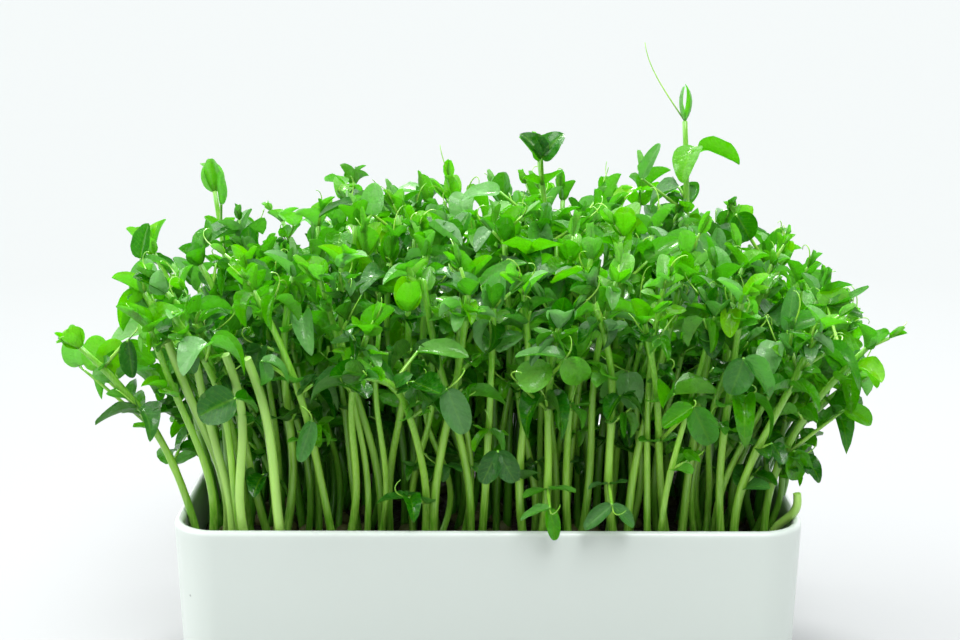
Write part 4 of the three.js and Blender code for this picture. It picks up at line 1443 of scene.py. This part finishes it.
# Some leaves are mixed towards a pale grey-green: partly the wax bloom that pea leaves have, partly
# painted sheen where the lit upper leaves mirror the bright sky.
wax_and_sheen = add_node(tree, "ShaderNodeAttribute", attribute_name="wax_and_sheen")
wax_and_sheen_share = add_node(tree, "ShaderNodeMath", {1: 0.85}, {0: (wax_and_sheen, "Fac")}, operation="MULTIPLY")
leaf_colour = add_node(
    tree, "ShaderNodeMix", {MIX_B: linear("#a8d4a0")},
    {"Factor": (wax_and_sheen_share, "Value"), MIX_A: (flecked, MIX_RESULT)}, data_type="RGBA",
)
tree.links.new(leaf_colour.outputs[MIX_RESULT], shader.inputs["Base Color"])
wax = add_node(
    tree, "ShaderNodeMapRange", {"To Min": 0.2, "To Max": 0.42}, {"Value": (fleck_noise, "Fac")}
)
tree.links.new(wax.outputs["Result"], shader.inputs["Roughness"])
# Veins are grooves above and ridges below.
groove = add_node(
    tree, "ShaderNodeMapRange", {"To Min": -1.0, "To Max": 1.0}, {"Value": (underside, "Fac")}
)
vein_height = add_node(
    tree, "ShaderNodeMath", {}, {0: (all_veins, "Value"), 1: (groove, "Result")}, operation="MULTIPLY"
)
# The flesh swells a little between the veins, unevenly.
swelling = add_node(
    tree, "ShaderNodeTexNoise", {"Scale": 1 / (3 * MM), "Detail": 2.0}, {"Vector": (place, "Object")}
)
swollen = add_node(
    tree, "ShaderNodeBump", {"Strength": 1.0, "Distance": 1.3 * MM}, {"Height": (swelling, "Fac")}
)
vein_bump = add_node(
    tree, "ShaderNodeBump", {"Strength": 0.5, "Distance": 0.15 * MM},
    {"Height": (vein_height, "Value"), "Normal": (swollen, "Normal")},
)
tree.links.new(vein_bump.outputs["Normal"], shader.inputs["Normal"])

# What shines through is yellower than what is reflected, above all in the young thin leaves.
thinness = add_node(
    tree, "ShaderNodeMapRange", {"To Min": 0.15, "To Max": 0.85}, {"Value": (tone, "Fac")}
)
through_colour = add_node(
    tree, "ShaderNodeMix", {MIX_B: linear("#a0e81c")},
    {"Factor": (thinness, "Result"), MIX_A: (leaf_colour, MIX_RESULT)}, data_type="RGBA",
)
through = add_node(
    tree, "ShaderNodeBsdfTranslucent", {},
    {"Color": (through_colour, MIX_RESULT), "Normal": (vein_bump, "Normal")},
)
thin_leaf = add_node(
    tree, "ShaderNodeMixShader", {0: 0.6}, {1: (shader, "BSDF"), 2: (through, "BSDF")}
)
tree.links.new(thin_leaf.outputs["Shader"], tree.nodes["Material Output"].inputs["Surface"])


# ---------------------------------------------------------------------------------------------
# The plants in their places
# Each pea with its shoots stands for its own solid. The peas sown between them have no solids of
# their own, and are gathered twelve to a piece.

BETWEEN_PER_PIECE = 12
BETWEEN_THICKNESS = 0.82
CUT_THICKNESS = 1.1
plant_materials = [stem_skin, leaf_skin, seed_coat]


def add_plant(skins, plant, thickness, grid):
    """A pea with its stems and all their leaves."""
    x, y, shoots = plant
    add_pea(skins, x, y, thickness)
    for shoot in shoots:
        add_stem(skins, shoot, thickness)
        if shoot.height == TALLEST:
            way = np.array(TALLEST_TENDRIL, float)
            start_way = unit(way + UP * 4)
            add_tendril(skins, shoot.point(1), start_way, 1.1 * math.sqrt(way @ way), 0.5)
        for leaf in shoot.grown:
            add_leaf(skins, shoot, leaf, grid)


for number, plant in enumerate(plants, 1):
    skins = Skins()
    add_plant(skins, plant, 1.0, FINE_GRID)
    solid = f"pea_plant_{number:02d}"
    skins.finish(solid + "_grown", plant_materials, "pea_shoot", [solid])
for number, first in enumerate(range(0, len(between), BETWEEN_PER_PIECE), 1):
    skins = Skins()
    for plant in between[first:first + BETWEEN_PER_PIECE]:
        thickness = CUT_THICKNESS if plant[2][0].cut else BETWEEN_THICKNESS
        add_plant(skins, plant, thickness, PLAIN_GRID)
    skins.finish(f"pea_plants_between_{number:02d}", plant_materials, "pea_shoot")
